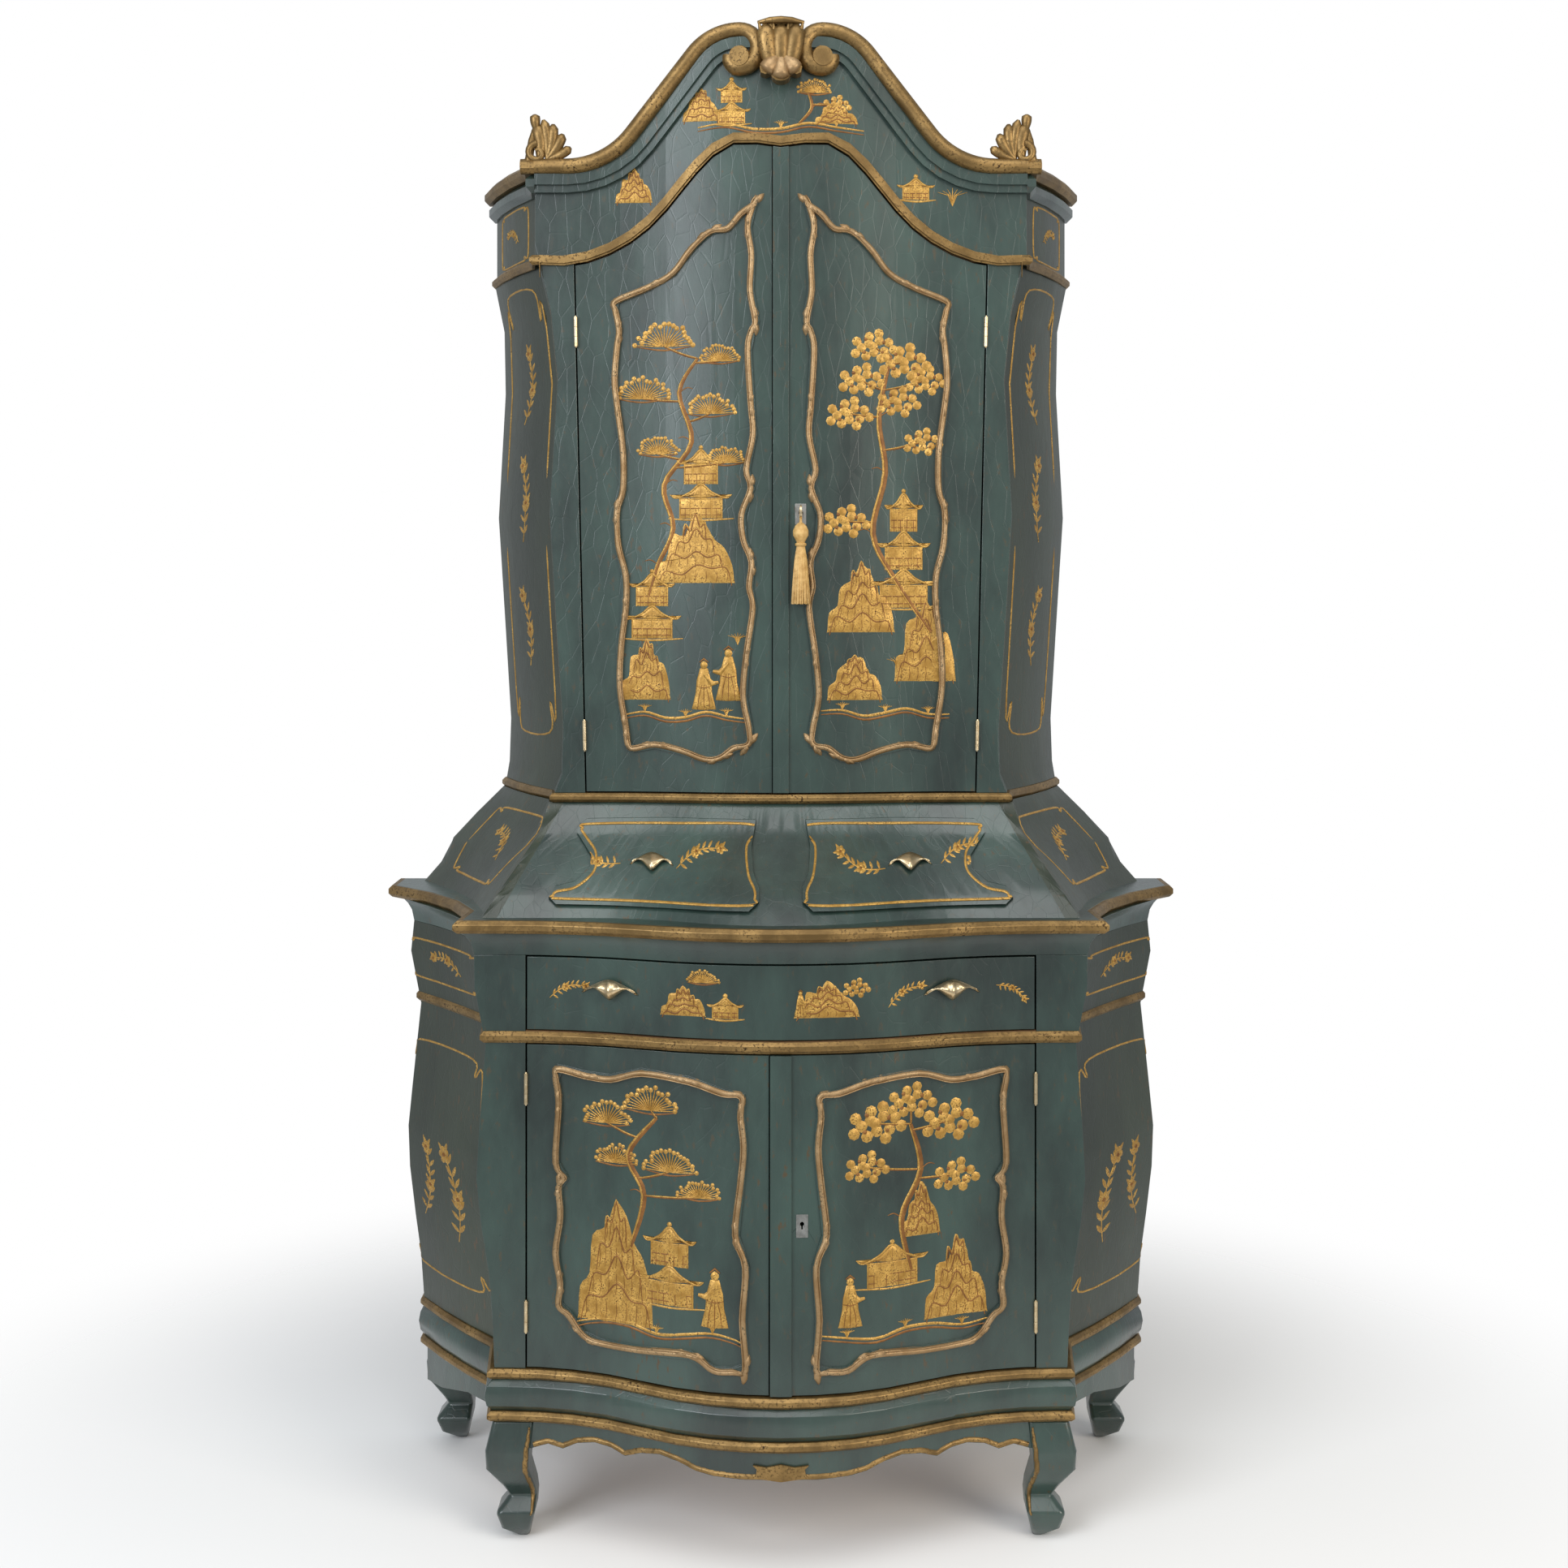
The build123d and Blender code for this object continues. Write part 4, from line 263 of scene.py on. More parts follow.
silk = aged("gold_silk", "#b08848", "#d0ac6c", "#7a5828", 0.08, 8, 1, 0.6, bump_mm=0.1)
finishes = {
    "lacquer": lacquer, "lacquer_side": side_lacquer, "gilt_wood": gilding, "bare_wood": pine_wood,
    "gilt_bronze": pale_bronze, "lock_steel": old_steel, "tassel_silk": silk,
}
print(len(finishes), "finishes for the record's slots")

# %% [markdown]
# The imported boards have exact, knife-sharp edges and curved faces made of flat strips. A joiner's
# edge is rubbed down by hand, so each board is copied, its doubled points joined, its strips
# shaded as one curve, and its real corners rounded by a narrow bevel.

# %% Boards with rubbed edges
slot_of = {row["node"]: row["material_slot"] for row in frame["record"]["subparts"]}
body_of = {}
for body, names in frame["record"]["behaviour"]["bodies"].items():
    for name in names:
        body_of[name] = body
replaced_later = [
    "tassel", "long_drawer_pulls", "small_drawer_pull_left", "small_drawer_pull_right", "legs",
    "finials",
]


def rubbed(name, edge_mm, angle=28):
    """Copy of a CAD node with joined points, smooth shading and rounded corners."""
    source = frame["nodes"][name]
    mesh = source.data.copy()
    mesh.name = name + "_board"
    work = bmesh.new()
    work.from_mesh(mesh)
    bmesh.ops.remove_doubles(work, verts=work.verts, dist=JOIN)
    work.to_mesh(mesh)
    work.free()
    mesh.shade_smooth()
    mesh.set_sharp_from_angle(angle=math.radians(angle))
    mesh.materials.clear()
    mesh.materials.append(finishes[slot_of[name]])
    board = bpy.data.objects.new(name + "_board", mesh)
    scene.collection.objects.link(board)
    bevel = board.modifiers.new("rubbed_edge", "BEVEL")
    bevel.width = edge_mm * MM
    bevel.segments = 2
    bevel.limit_method = "ANGLE"
    bevel.angle_limit = math.radians(angle)
    even = board.modifiers.new("even_shading", "WEIGHTED_NORMAL")
    even.keep_sharp = True
    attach(board, body_of[name])
    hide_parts(name)
    return board


small_edge_mm, board_edge_mm = 0.4, 0.8
boards = [
    rubbed(name, small_edge_mm if "hinge" in name or "bolt" in name else board_edge_mm)
    for name in slot_of if name not in replaced_later
]
print(len(boards), "boards")

# %% [markdown]
# Painted and carved work has to follow bowed doors and sloping drawers. We draw it flat, as a list
# of points with a height above the wood, and then lay it on: each point is pushed straight onto
# the boards from the front or from a side, and lifted by its height. So nothing floats or sinks,
# whatever the curve of the board.

# %% Laying drawings on boards
class Ground:
    """Surface of some CAD nodes as seen from the front or from one side."""

    def __init__(self, names, side=0):
        points = []
        faces = []
        for name in names:
            mesh = frame["nodes"][name].data
            start = len(points)
            points += [v.co.copy() for v in mesh.vertices]
            faces += [[start + i for i in face.vertices] for face in mesh.polygons]
        self.tree = BVHTree.FromPolygons(points, faces)
        self.side = side

    def spot(self, across, up, lift=0.0):
        """Point on the surface at two flat coordinates, lifted off it."""
        if self.side:
            start = Vector((self.side * OUTSIDE, across, up))
            way = Vector((-self.side, 0, 0))
        else:
            start = Vector((across, -OUTSIDE, up))
            way = Vector((0, 1, 0))
        hit = self.tree.ray_cast(start, way)[0]
        if hit is None:
            return None
        return hit - way * lift


class Drawing:
    """Flat points with a height, and the faces between them."""

    def __init__(self):
        self.points = []
        self.faces = []

    def stroke(self, path, width, height, closed=False, taper=True):
        """Rounded line along a path, all in metres, thin at both ends if it tapers."""
        count = len(path)
        rows = []
        for i, (x, z) in enumerate(path):
            a = path[(i - 1) % count] if closed else path[max(i - 1, 0)]
            b = path[(i + 1) % count] if closed else path[min(i + 1, count - 1)]
            dx, dz = b[0] - a[0], b[1] - a[1]
            size = math.hypot(dx, dz) or 1
            share = 1.0
            if taper and not closed:
                t = i / max(count - 1, 1)
                share = 0.25 + 0.75 * math.sin(math.pi * min(max(t, 0.02), 0.98)) ** 0.5
            row = []
            for u, h in ((-0.5, -0.15), (-0.3, 0.75), (0, 1), (0.3, 0.75), (0.5, -0.15)):
                row.append(len(self.points))
                self.points.append((
                    x - dz / size * u * width * share, z + dx / size * u * width * share, h * height,
                ))
            rows.append(row)
        if closed:
            rows.append(rows[0])
        for first, second in zip(rows, rows[1:]):
            for k in range(4):
                self.faces.append((first[k], first[k + 1], second[k + 1], second[k]))

    def leaf(self, x, z, angle, length, width, height):
        """Pointed leaf with a raised rib, from its foot in one direction."""
        c, s = math.cos(angle), math.sin(angle)
        outline = (
            (0, 0), (0.25, 0.4), (0.55, 0.5), (0.85, 0.25), (1, 0), (0.85, -0.25), (0.55, -0.5),
            (0.25, -0.4),
        )
        start = len(self.points)
        for along, across in outline:
            self.points.append((
                x + c * along * length - s * across * width,
                z + s * along * length + c * across * width, -0.1 * height,
            ))
        for along in (0.2, 0.5, 0.8):
            self.points.append((x + c * along * length, z + s * along * length, height))
        r = [start + i for i in range(11)]
        self.faces += [
            (r[0], r[8], r[1]), (r[1], r[8], r[9], r[2]), (r[2], r[9], r[10], r[3]),
            (r[3], r[10], r[4]), (r[4], r[10], r[5]), (r[5], r[10], r[9], r[6]),
            (r[6], r[9], r[8], r[7]), (r[7], r[8], r[0]),
        ]

    def patch(self, outline, height):
        """Filled flat shape, in rings from its edge to its middle."""
        edge = []
        for (ax, az), (bx, bz) in zip(outline, outline[1:] + outline[:1]):
            parts = max(1, round(math.hypot(bx - ax, bz - az) / PATCH_STEP))
            edge += [(ax + (bx - ax) * k / parts, az + (bz - az) * k / parts) for k in range(parts)]
        outline = edge
        count = len(outline)
        x = sum(p[0] for p in outline) / count
        z = sum(p[1] for p in outline) / count
        start = len(self.points)
        for share, h in ((1, -0.2), (0.94, 1), (0.6, 1), (0.3, 1)):
            for px, pz in outline:
                self.points.append((x + (px - x) * share, z + (pz - z) * share, height * h))
        self.points.append((x, z, height))
        for ring in range(3):
            for k in range(count):
                n = (k + 1) % count
                a = start + ring * count
                self.faces.append((a + k, a + n, a + count + n, a + count + k))
        for k in range(count):
            self.faces.append((
                start + 3 * count + k, start + 3 * count + (k + 1) % count, start + 4 * count,
            ))

    def disc(self, x, z, radius, height, squash=1.0):
        """Small domed spot."""
        start = len(self.points)
        for share, h in ((1, -0.1), (0.65, 0.8)):
            for k in range(8):
                turn = math.tau * k / 8
                self.points.append((
                    x + math.cos(turn) * radius * share, z + math.sin(turn) * radius * share * squash,
                    h * height,
                ))
        self.points.append((x, z, height))
        for k in range(8):
            n = (k + 1) % 8
            self.faces.append((start + k, start + n, start + 8 + n, start + 8 + k))
            self.faces.append((start + 8 + k, start + 8 + n, start + 16))


def new_piece(name, points, faces, material, body, sharp=None):
    """Mesh without loose points, as one piece that rides on a body."""
    mesh = bpy.data.meshes.new(name)
    mesh.from_pydata(points, [], faces)
    work = bmesh.new()
    work.from_mesh(mesh)
    loose = [v for v in work.verts if not v.link_faces]
    bmesh.ops.delete(work, geom=loose, context="VERTS")
    bmesh.ops.recalc_face_normals(work, faces=work.faces)
    work.to_mesh(mesh)
    work.free()
    mesh.shade_smooth()
    if sharp:
        mesh.set_sharp_from_angle(angle=math.radians(sharp))
    mesh.materials.append(material)
    piece = bpy.data.objects.new(name, mesh)
    scene.collection.objects.link(piece)
    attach(piece, body)
    print(name, len(mesh.polygons), "faces")
    return piece


def lay(name, drawing, ground, material, body):
    """Put a drawing on its ground; faces that miss the boards are left out."""
    spots = [ground.spot(x, z, h) for x, z, h in drawing.points]
    faces = [face for face in drawing.faces if all(spots[i] is not None for i in face)]
    spots = [spot if spot is not None else Vector((0, 0, 1)) for spot in spots]
    new_piece(name, spots, faces, material, body)


def flowing(points, steps=6, closed=False):
    """Smooth line through points, as a pen would draw it."""
    line = []
    count = len(points)
    for i in range(count if closed else count - 1):
        p0 = points[(i - 1) % count] if closed or i else points[0]
        p1 = points[i]
        p2 = points[(i + 1) % count]
        p3 = points[(i + 2) % count] if closed or i + 2 < count else points[-1]
        for k in range(steps):
            t = k / steps
            line.append(tuple(
                0.5 * (2 * p1[a] + (p2[a] - p0[a]) * t + (2 * p0[a] - 5 * p1[a] + 4 * p2[a] - p3[a]) * t * t
                       + (3 * p1[a] - p0[a] - 3 * p2[a] + p3[a]) * t ** 3)
                for a in range(len(p1))))
    if not closed:
        line.append(tuple(points[-1]))
    return line


# %% [markdown]
# Each door carries a raised frame of carved wood, gilt in a pale rose gold. It wanders in long
# waves with pairs of small leaves along it, as rococo frames do. The line is the same one that the
# solid frame follows; here it gets a round section, a bead on the inside, and the leaves.

# %% Carved frames on the doors
lower_shares = [
    (0, 0.02), (0.015, 0.187), (0, 0.362), (0.05, 0.465), (0.025, 0.63), (0.01, 0.75),
    (0.025, 0.855), (0.025, 0.93), (0.13, 0.944), (0.3, 0.978), (0.54, 0.994), (0.7, 0.964),
    (0.82, 0.97), (0.97, 0.99), (1, 0.947), (0.984, 0.855), (1, 0.65), (0.956, 0.6), (0.984, 0.57),
    (0.976, 0.465), (1, 0.34), (0.976, 0.237), (0.984, 0.156), (0.93, 0.12), (0.85, 0.053),
    (0.75, 0.03), (0.55, 0.03), (0.3, 0.042), (0.18, 0), (0.08, 0),
]
upper_shares = [
    (0.06, 0.02), (0.053, 0.052), (0.09, 0.109), (0.071, 0.18), (0.03, 0.266), (0.053, 0.304),
    (0.039, 0.349), (0.09, 0.389), (0.1, 0.432), (0.043, 0.478), (0.071, 0.512), (0.03, 0.573),
    (0.043, 0.629), (0.062, 0.724), (0.04, 0.757), (0.015, 0.776), (0.048, 0.831), (0.039, 0.894),
    (0.062, 0.942), (0.039, 0.972), (0.006, 1.0), (0.06, 0.99), (0.146, 0.972), (0.225, 0.947),
    (0.333, 0.942), (0.459, 0.909), (0.566, 0.869), (0.706, 0.846), (0.92, 0.82), (0.93, 0.798),
    (0.907, 0.762), (0.92, 0.733), (0.935, 0.675), (0.92, 0.629), (0.883, 0.546), (0.883, 0.478),
    (0.92, 0.438), (0.911, 0.377), (0.865, 0.322), (0.865, 0.266), (0.893, 0.199), (0.902, 0.125),
    (0.865, 0.052), (0.85, 0.02), (0.795, 0.008), (0.66, 0.015), (0.501, 0.005), (0.357, -0.01),
    (0.249, -0.007), (0.16, 0.011),
]


def frame_line(shares, low, size, sign, inset):
    """Middle line of a raised frame on one side of the centre."""
    points = [((low[0] + x * size[0]) * MM, (low[1] + z * size[1]) * MM) for x, z in shares]
    moved = []
    for i, (x, z) in enumerate(points):
        a, b = points[i - 1], points[(i + 1) % len(points)]
        dx, dz = b[0] - a[0], b[1] - a[1]
        size_ = math.hypot(dx, dz)
        moved.append((sign * (x + inset * MM * dz / size_), z - inset * MM * dx / size_))
    return moved


def carved_frame(name, door, shares, low, size, sign, body):
    """Round gilt frame with a bead inside it and leaves along it."""
    ground = Ground([door])
    rim_inset, bead_inset = 6, 10.5
    line = frame_line(shares, low, size, sign, rim_inset)
    drawing = Drawing()
    drawing.stroke(flowing(line, 5, True), 0.0095, 0.004, closed=True)
    inner = frame_line(shares, low, size, sign, bead_inset)
    drawing.stroke(flowing(inner, 4, True), 0.003, 0.0045, closed=True)
    for i in range(0, len(line), 3):
        x, z = line[i]
        a, b = line[i - 1], line[(i + 1) % len(line)]
        along = math.atan2(b[1] - a[1], b[0] - a[0])
        for turn in (0, math.pi):
            drawing.leaf(x, z, along + turn, 0.024, 0.012, 0.0062)
    lay(name, drawing, ground, rose_gilding, body)


low_frame = (47, 306), (310, 450)
high_frame = (31, 1217), (264, 912)
carved_frame("frame_lower_right", "lower_door_right", lower_shares, *low_frame, 1, "lower_right_door")
carved_frame("frame_lower_left", "lower_door_left", lower_shares, *low_frame, -1, "lower_left_door")
carved_frame("frame_upper_right", "upper_door_right", upper_shares, *high_frame, 1, "upper_right_door")
carved_frame("frame_upper_left", "upper_door_left", upper_shares, *high_frame, -1, "upper_left_door")

# %% [markdown]
# The pictures on the doors are raised gold work: a putty line is drawn, gilded, and shaded with
# brown lacquer. We use the old stock of such pictures, pines, round-leaved trees, rocks, pavilions
# and small robed people, each made of a few strokes. Most motifs have a gold and a brown part.

# %% Motifs for the pictures
class Picture:
    """Gold and brown drawings that are laid on the same board."""

    def __init__(self, seed):
        self.gold = Drawing()
        self.brown = Drawing()
        self.rng = random.Random(seed)
        self.bark = []

    def line(self, points, width=0.0022, brown=False, height=0.0009):
        """Free pen line."""
        (self.brown if brown else self.gold).stroke(flowing(points, 4), width, height)

    def trunk(self, points, width):
        """Crooked tree trunk, gold on one side and brown on the other."""
        self.bark = flowing(points, 5)
        self.brown.stroke(flowing(points, 5), width, 0.0012)
        moved = [(x - width * 0.3, z) for x, z in points]
        self.gold.stroke(flowing(moved, 5), width * 0.45, 0.0016)
        for x, z in points[1:-1]:
            way = self.rng.choice((-1, 1))
            self.line([(x, z), (x + way * 0.012, z + 0.008), (x + way * 0.022, z + 0.006)], 0.002, True)

    def branch(self, x, z):
        """Bent twig from the trunk to the foot of a leaf cluster."""
        roots = [p for p in self.bark if p[1] < z + 0.004]
        if roots:
            px, pz = min(roots, key=lambda p: math.hypot(p[0] - x, (p[1] - z) * 1.5))
            self.line(
                [(px, pz), (px * 0.6 + x * 0.4, pz * 0.7 + z * 0.3), (x, z)], 0.0042, True, 0.0011,
            )
            self.line(
                [(px, pz + 0.001), (px * 0.6 + x * 0.4, pz * 0.7 + z * 0.3 + 0.001), (x, z + 0.001)],
                0.0022, False, 0.0015,
            )

    def pine(self, x, z, size):
        """Cushion of pine needles at the end of a branch."""
        self.branch(x, z)
        for k in range(19):
            turn = math.pi * (0.02 + 0.96 * k / 18)
            reach = size * (0.75 + 0.25 * self.rng.random())
            tip = (x + math.cos(turn) * reach, z + math.sin(turn) * reach * 0.8)
            self.gold.stroke(
                [(x + math.cos(turn) * size * 0.12, z), ((x + tip[0]) / 2, (z + tip[1]) / 2), tip],
                0.0026, 0.0012,
            )
            self.gold.disc(*tip, size * 0.09, 0.0012)
        self.line([(x - size * 0.9, z), (x, z - size * 0.12), (x + size * 0.9, z)], 0.003, True)

    def round_tree(self, x, z, size):
        """Cluster of round leaves at the end of a branch."""
        self.branch(x, z)
        for k in range(14):
            turn = k * 2.4
            reach = size * math.sqrt(k / 14)
            self.gold.disc(
                x + math.cos(turn) * reach, z + math.sin(turn) * reach * 0.7, size * 0.23, 0.0014,
            )
        for k in range(4):
            turn = k * 1.7 + 0.5
            self.brown.disc(
                x + math.cos(turn) * size * 0.55, z + math.sin(turn) * size * 0.4, size * 0.1, 0.0019,
            )

    def rock(self, x, z, width, height):
        """Pile of rounded rocks, filled with gold, with shading strokes."""
        shape = (
            (-1, 0), (-0.95, 0.3), (-0.7, 0.42), (-0.62, 0.75), (-0.25, 0.85), (0, 1.08), (0.3, 0.95),
            (0.5, 0.68), (0.75, 0.6), (0.95, 0.3), (1, 0),
        )
        sides = [
            (x + width * 0.5 * u, z + height * h * (0.9 + 0.2 * self.rng.random())) for u, h in shape
        ]
        hump = ((-1, 0), (-0.8, 0.75), (-0.35, 0.6), (0.05, 1.1), (0.45, 0.7), (0.85, 0.8), (1, 0))
        self.gold.patch(flowing(sides, 3), 0.0006)
        for level in range(4):
            share = 1 - level * 0.23
            lift = height * level * 0.24
            tall = height * 0.34
            bump = [
                (x + width * share * u / 2, z + lift + tall * h * (0.8 + 0.4 * self.rng.random()))
                for u, h in hump
            ]
            self.line(bump, 0.003)
            inner = [(px * 0.93 + x * 0.07, pz - 0.004) for px, pz in bump]
            self.line(inner, 0.0035, True, 0.0011)
            for k in range(7):
                px = x + width * share * (k / 6 - 0.5) * 0.8
                self.brown.stroke(
                    [
                        (px, z + lift + 0.002), (px + 0.002, z + lift + height * 0.1),
                        (px + 0.001, z + lift + height * 0.2),
                    ],
                    0.0014, 0.0012,
                )

    def pavilion(self, x, z, width, storeys):
        """Open house with curled roofs, one above the other."""
        tall = width * 0.62
        for level in range(storeys):
            half = width / 2 * (1 - 0.22 * level)
            base = z + tall * level
            top = base + tall * 0.6
            self.gold.patch(
                [
                    (x - half * 0.74, base), (x - half * 0.74, top), (x, top), (x + half * 0.74, top),
                    (x + half * 0.74, base), (x, base),
                ],
                0.0004,
            )
            for k in range(5):
                px = x + half * 0.76 * (k / 2 - 1)
                self.gold.stroke(
                    [(px, base), (px, (base + top) / 2), (px, top)], 0.0028, 0.0012, taper=False,
                )
            for share in (0.18, 0.5):
                pz = base + (top - base) * share
                self.brown.stroke(
                    [(x - half * 0.76, pz), (x, pz), (x + half * 0.76, pz)], 0.0022, 0.0008,
                    taper=False,
                )
            for k in range(4):
                px = x + half * 0.76 * (k / 2 - 0.75)
                self.brown.stroke(
                    [(px, base), (px, base + (top - base) * 0.5)], 0.0016, 0.0008, taper=False,
                )
            slope = (
                (-1.12, 0.1), (-0.9, 0), (-0.4, 0.16), (0, 0.4), (0.4, 0.16), (0.9, 0), (1.12, 0.1),
            )
            roof = [(x + half * u, top + tall * h) for u, h in slope]
            self.gold.patch(roof + [(x, top - tall * 0.02)], 0.0007)
            self.line(roof, 0.004, False, 0.0016)
            self.line([(x - half * 0.95, top), (x, top - tall * 0.03), (x + half * 0.95, top)], 0.003)
            for k in range(7):
                px = x + half * (k / 3 - 1) * 0.7
                peak = top + tall * (0.33 - 0.27 * abs(k / 3 - 1))
                self.brown.stroke([(px * 0.5 + x * 0.5, peak), (px, top + 0.001)], 0.002, 0.0009)
        self.gold.disc(x, z + tall * storeys + 0.004, 0.004, 0.0018)
        self.line([(x - width * 0.6, z), (x, z - 0.003), (x + width * 0.6, z)], 0.0035)

    def person(self, x, z, height, way):
        """Small robed person with a wide sleeve and a plain round head."""
        robe = height * 0.84
        shape = [
            (-0.08, 1), (-0.15, 0.7), (-0.17, 0.4), (-0.25, 0), (0, -0.02), (0.25, 0), (0.17, 0.4),
            (0.15, 0.7), (0.08, 1),
        ]
        self.gold.patch([(x + u * height, z + h * robe) for u, h in shape], 0.0014)
        for fold in (-0.1, 0.0, 0.1):
            self.brown.stroke(
                [
                    (x + fold * height * 0.4, z + robe * 0.6), (x + fold * height, z + robe * 0.3),
                    (x + fold * height * 1.3, z),
                ],
                height * 0.028, 0.0021,
            )
        sleeve = [
            (x, z + robe * 0.85), (x + way * height * 0.16, z + robe * 0.62),
            (x + way * height * 0.3, z + robe * 0.66),
        ]
        self.gold.stroke(sleeve, height * 0.14, 0.0024)
        self.brown.stroke(
            [
                (x - height * 0.15, z + robe * 0.56), (x, z + robe * 0.52),
                (x + height * 0.15, z + robe * 0.56),
            ],
            height * 0.03, 0.0024,
        )
        self.gold.disc(x, z + height * 0.9, height * 0.08, 0.0022, 1.15)
        self.brown.stroke(
            [
                (x - height * 0.09, z + height * 0.96), (x, z + height * 1.03),
                (x + height * 0.09, z + height * 0.96),
            ],
            height * 0.045, 0.0024,
        )

    def grass(self, x, z, size):
        """Tuft of blades."""
        for k in range(7):
            lean = (k / 6 - 0.5) * 1.6
            self.gold.stroke(
                [
                    (x, z), (x + lean * size * 0.3, z + size * 0.6),
                    (x + lean * size, z + size * (1 - 0.3 * abs(lean))),
                ],
                0.0018, 0.0009,
            )

    def shore(self, x, z, width):
        """Strip of ground with a shaded edge."""
        points = [(x + width * (k / 6 - 0.5), z + 0.006 * math.sin(k * 1.9 + x * 40)) for k in range(7)]
        self.line(points, 0.005)
        self.line([(px, pz - 0.006) for px, pz in points], 0.004, True)
        for k in (1, 3, 5):
            self.grass(points[k][0], points[k][1], 0.014)

    def spray(self, x, z, size, angle):
        """Flowering branch that bends from its foot."""
        c, s = math.cos(angle), math.sin(angle)
        stem = []
        for t in (0, 0.25, 0.5, 0.75, 1):
            bend = 0.16 * math.sin(t * 3)
            stem.append((x + size * (t * c - bend * s), z + size * (t * s + bend * c)))
        self.line(stem, 0.0026)
        for k, (px, pz) in enumerate(flowing(stem, 2)[1:]):
            for way in (-1, 1):
                self.gold.leaf(px, pz, angle + way * (0.9 - 0.05 * k), size * 0.17, size * 0.06, 0.0012)
        for px, pz in (stem[2], stem[4]):
            for k in range(5):
                turn = math.tau * k / 5
                self.gold.disc(
                    px + math.cos(turn) * size * 0.06, pz + math.sin(turn) * size * 0.06, size * 0.045,
                    0.0016,
                )
            self.brown.disc(px, pz, size * 0.03, 0.0022)

    def lay(self, name, nodes, body, side=0, slot="lacquer"):
        """Put both drawings on the boards."""
        ground = Ground(nodes, side)
        for part, material, word in (
            (self.gold, bright_gold, "gold"), (self.brown, brown_gold, "brown"),
        ):
            if part.points:
                lay(f"{name}_{word}", part, ground, material, body)


# %% [markdown]
# Now each board gets its picture. The upper doors show tall trees over pavilions by the water, the
# lower doors broad trees, rocks and a house, and the drawers sprays of flowers, with a little
# landscape in the middle of the long one.

# %% Pictures on the doors, the drawers and the frieze
art = Picture(1)
art.trunk(
    [
        (-0.215, 1.48), (-0.20, 1.53), (-0.175, 1.59), (-0.19, 1.66), (-0.145, 1.73), (-0.165, 1.81),
        (-0.135, 1.865),
    ],
    0.009,
)
for x, z, size in (
    (-0.19, 1.885, 0.05), (-0.10, 1.86, 0.034), (-0.225, 1.80, 0.045), (-0.115, 1.775, 0.042),
    (-0.20, 1.71, 0.036), (-0.09, 1.695, 0.034),
):
    art.pine(x, z, size)
art.pavilion(-0.13, 1.605, 0.09, 2)
art.rock(-0.14, 1.50, 0.13, 0.10)
art.pavilion(-0.21, 1.41, 0.085, 2)
art.rock(-0.22, 1.31, 0.08, 0.09)
art.person(-0.085, 1.31, 0.085, -1)
art.person(-0.125, 1.295, 0.08, 1)
art.shore(-0.155, 1.285, 0.20)
art.grass(-0.07, 1.40, 0.02)
art.lay("picture_upper_left", ["upper_door_left"], "upper_left_door")

art = Picture(2)
art.trunk([(0.245, 1.42), (0.19, 1.50), (0.15, 1.58), (0.17, 1.68), (0.16, 1.77), (0.18, 1.87)], 0.010)
for x, z, size in (
    (0.15, 1.885, 0.036), (0.20, 1.86, 0.04), (0.235, 1.83, 0.032), (0.13, 1.83, 0.036),
    (0.19, 1.795, 0.034), (0.11, 1.775, 0.036), (0.105, 1.60, 0.036), (0.23, 1.73, 0.03),
):
    art.round_tree(x, z, size)
art.pavilion(0.20, 1.46, 0.10, 3)
art.rock(0.13, 1.42, 0.11, 0.10)
art.rock(0.235, 1.34, 0.10, 0.12)
art.rock(0.12, 1.31, 0.09, 0.07)
art.shore(0.17, 1.29, 0.21)
art.grass(0.19, 1.36, 0.022)
art.lay("picture_upper_right", ["upper_door_right"], "upper_right_door")

art = Picture(3)
art.trunk([(-0.23, 0.48), (-0.21, 0.56), (-0.235, 0.62), (-0.19, 0.68)], 0.010)
for x, z, size in (
    (-0.20, 0.69, 0.045), (-0.27, 0.665, 0.042), (-0.17, 0.60, 0.042), (-0.255, 0.605, 0.036),
    (-0.125, 0.565, 0.034),
):
    art.pine(x, z, size)
art.rock(-0.255, 0.36, 0.12, 0.17)
art.pavilion(-0.17, 0.40, 0.095, 2)
art.person(-0.10, 0.375, 0.085, -1)
art.shore(-0.19, 0.36, 0.26)
art.lay("picture_lower_left", ["lower_door_left"], "lower_left_door")

art = Picture(4)
art.trunk([(0.20, 0.45), (0.185, 0.53), (0.215, 0.60), (0.20, 0.67)], 0.010)
for x, z, size in (
    (0.145, 0.675, 0.042), (0.26, 0.67, 0.042), (0.20, 0.705, 0.036), (0.27, 0.585, 0.034),
    (0.13, 0.61, 0.032),
):
    art.round_tree(x, z, size)
art.pavilion(0.17, 0.43, 0.10, 1)
art.rock(0.215, 0.50, 0.06, 0.07)
art.rock(0.27, 0.37, 0.10, 0.11)
art.person(0.105, 0.375, 0.075, 1)
art.shore(0.19, 0.36, 0.27)
art.lay("picture_lower_right", ["lower_door_right"], "lower_right_door")

art = Picture(5)
art.pavilion(-0.085, 0.836, 0.05, 1)
art.rock(-0.15, 0.838, 0.07, 0.04)
art.pine(-0.12, 0.89, 0.026)
art.rock(0.07, 0.838, 0.10, 0.05)
art.round_tree(0.115, 0.882, 0.02)
art.person(0.03, 0.84, 0.04, 1)
art.spray(0.165, 0.85, 0.06, 0.5)
art.spray(-0.36, 0.855, 0.06, 0.3)
art.spray(0.335, 0.875, 0.05, -0.5)
art.lay("picture_long_drawer", ["long_drawer_front"], "long_drawer")

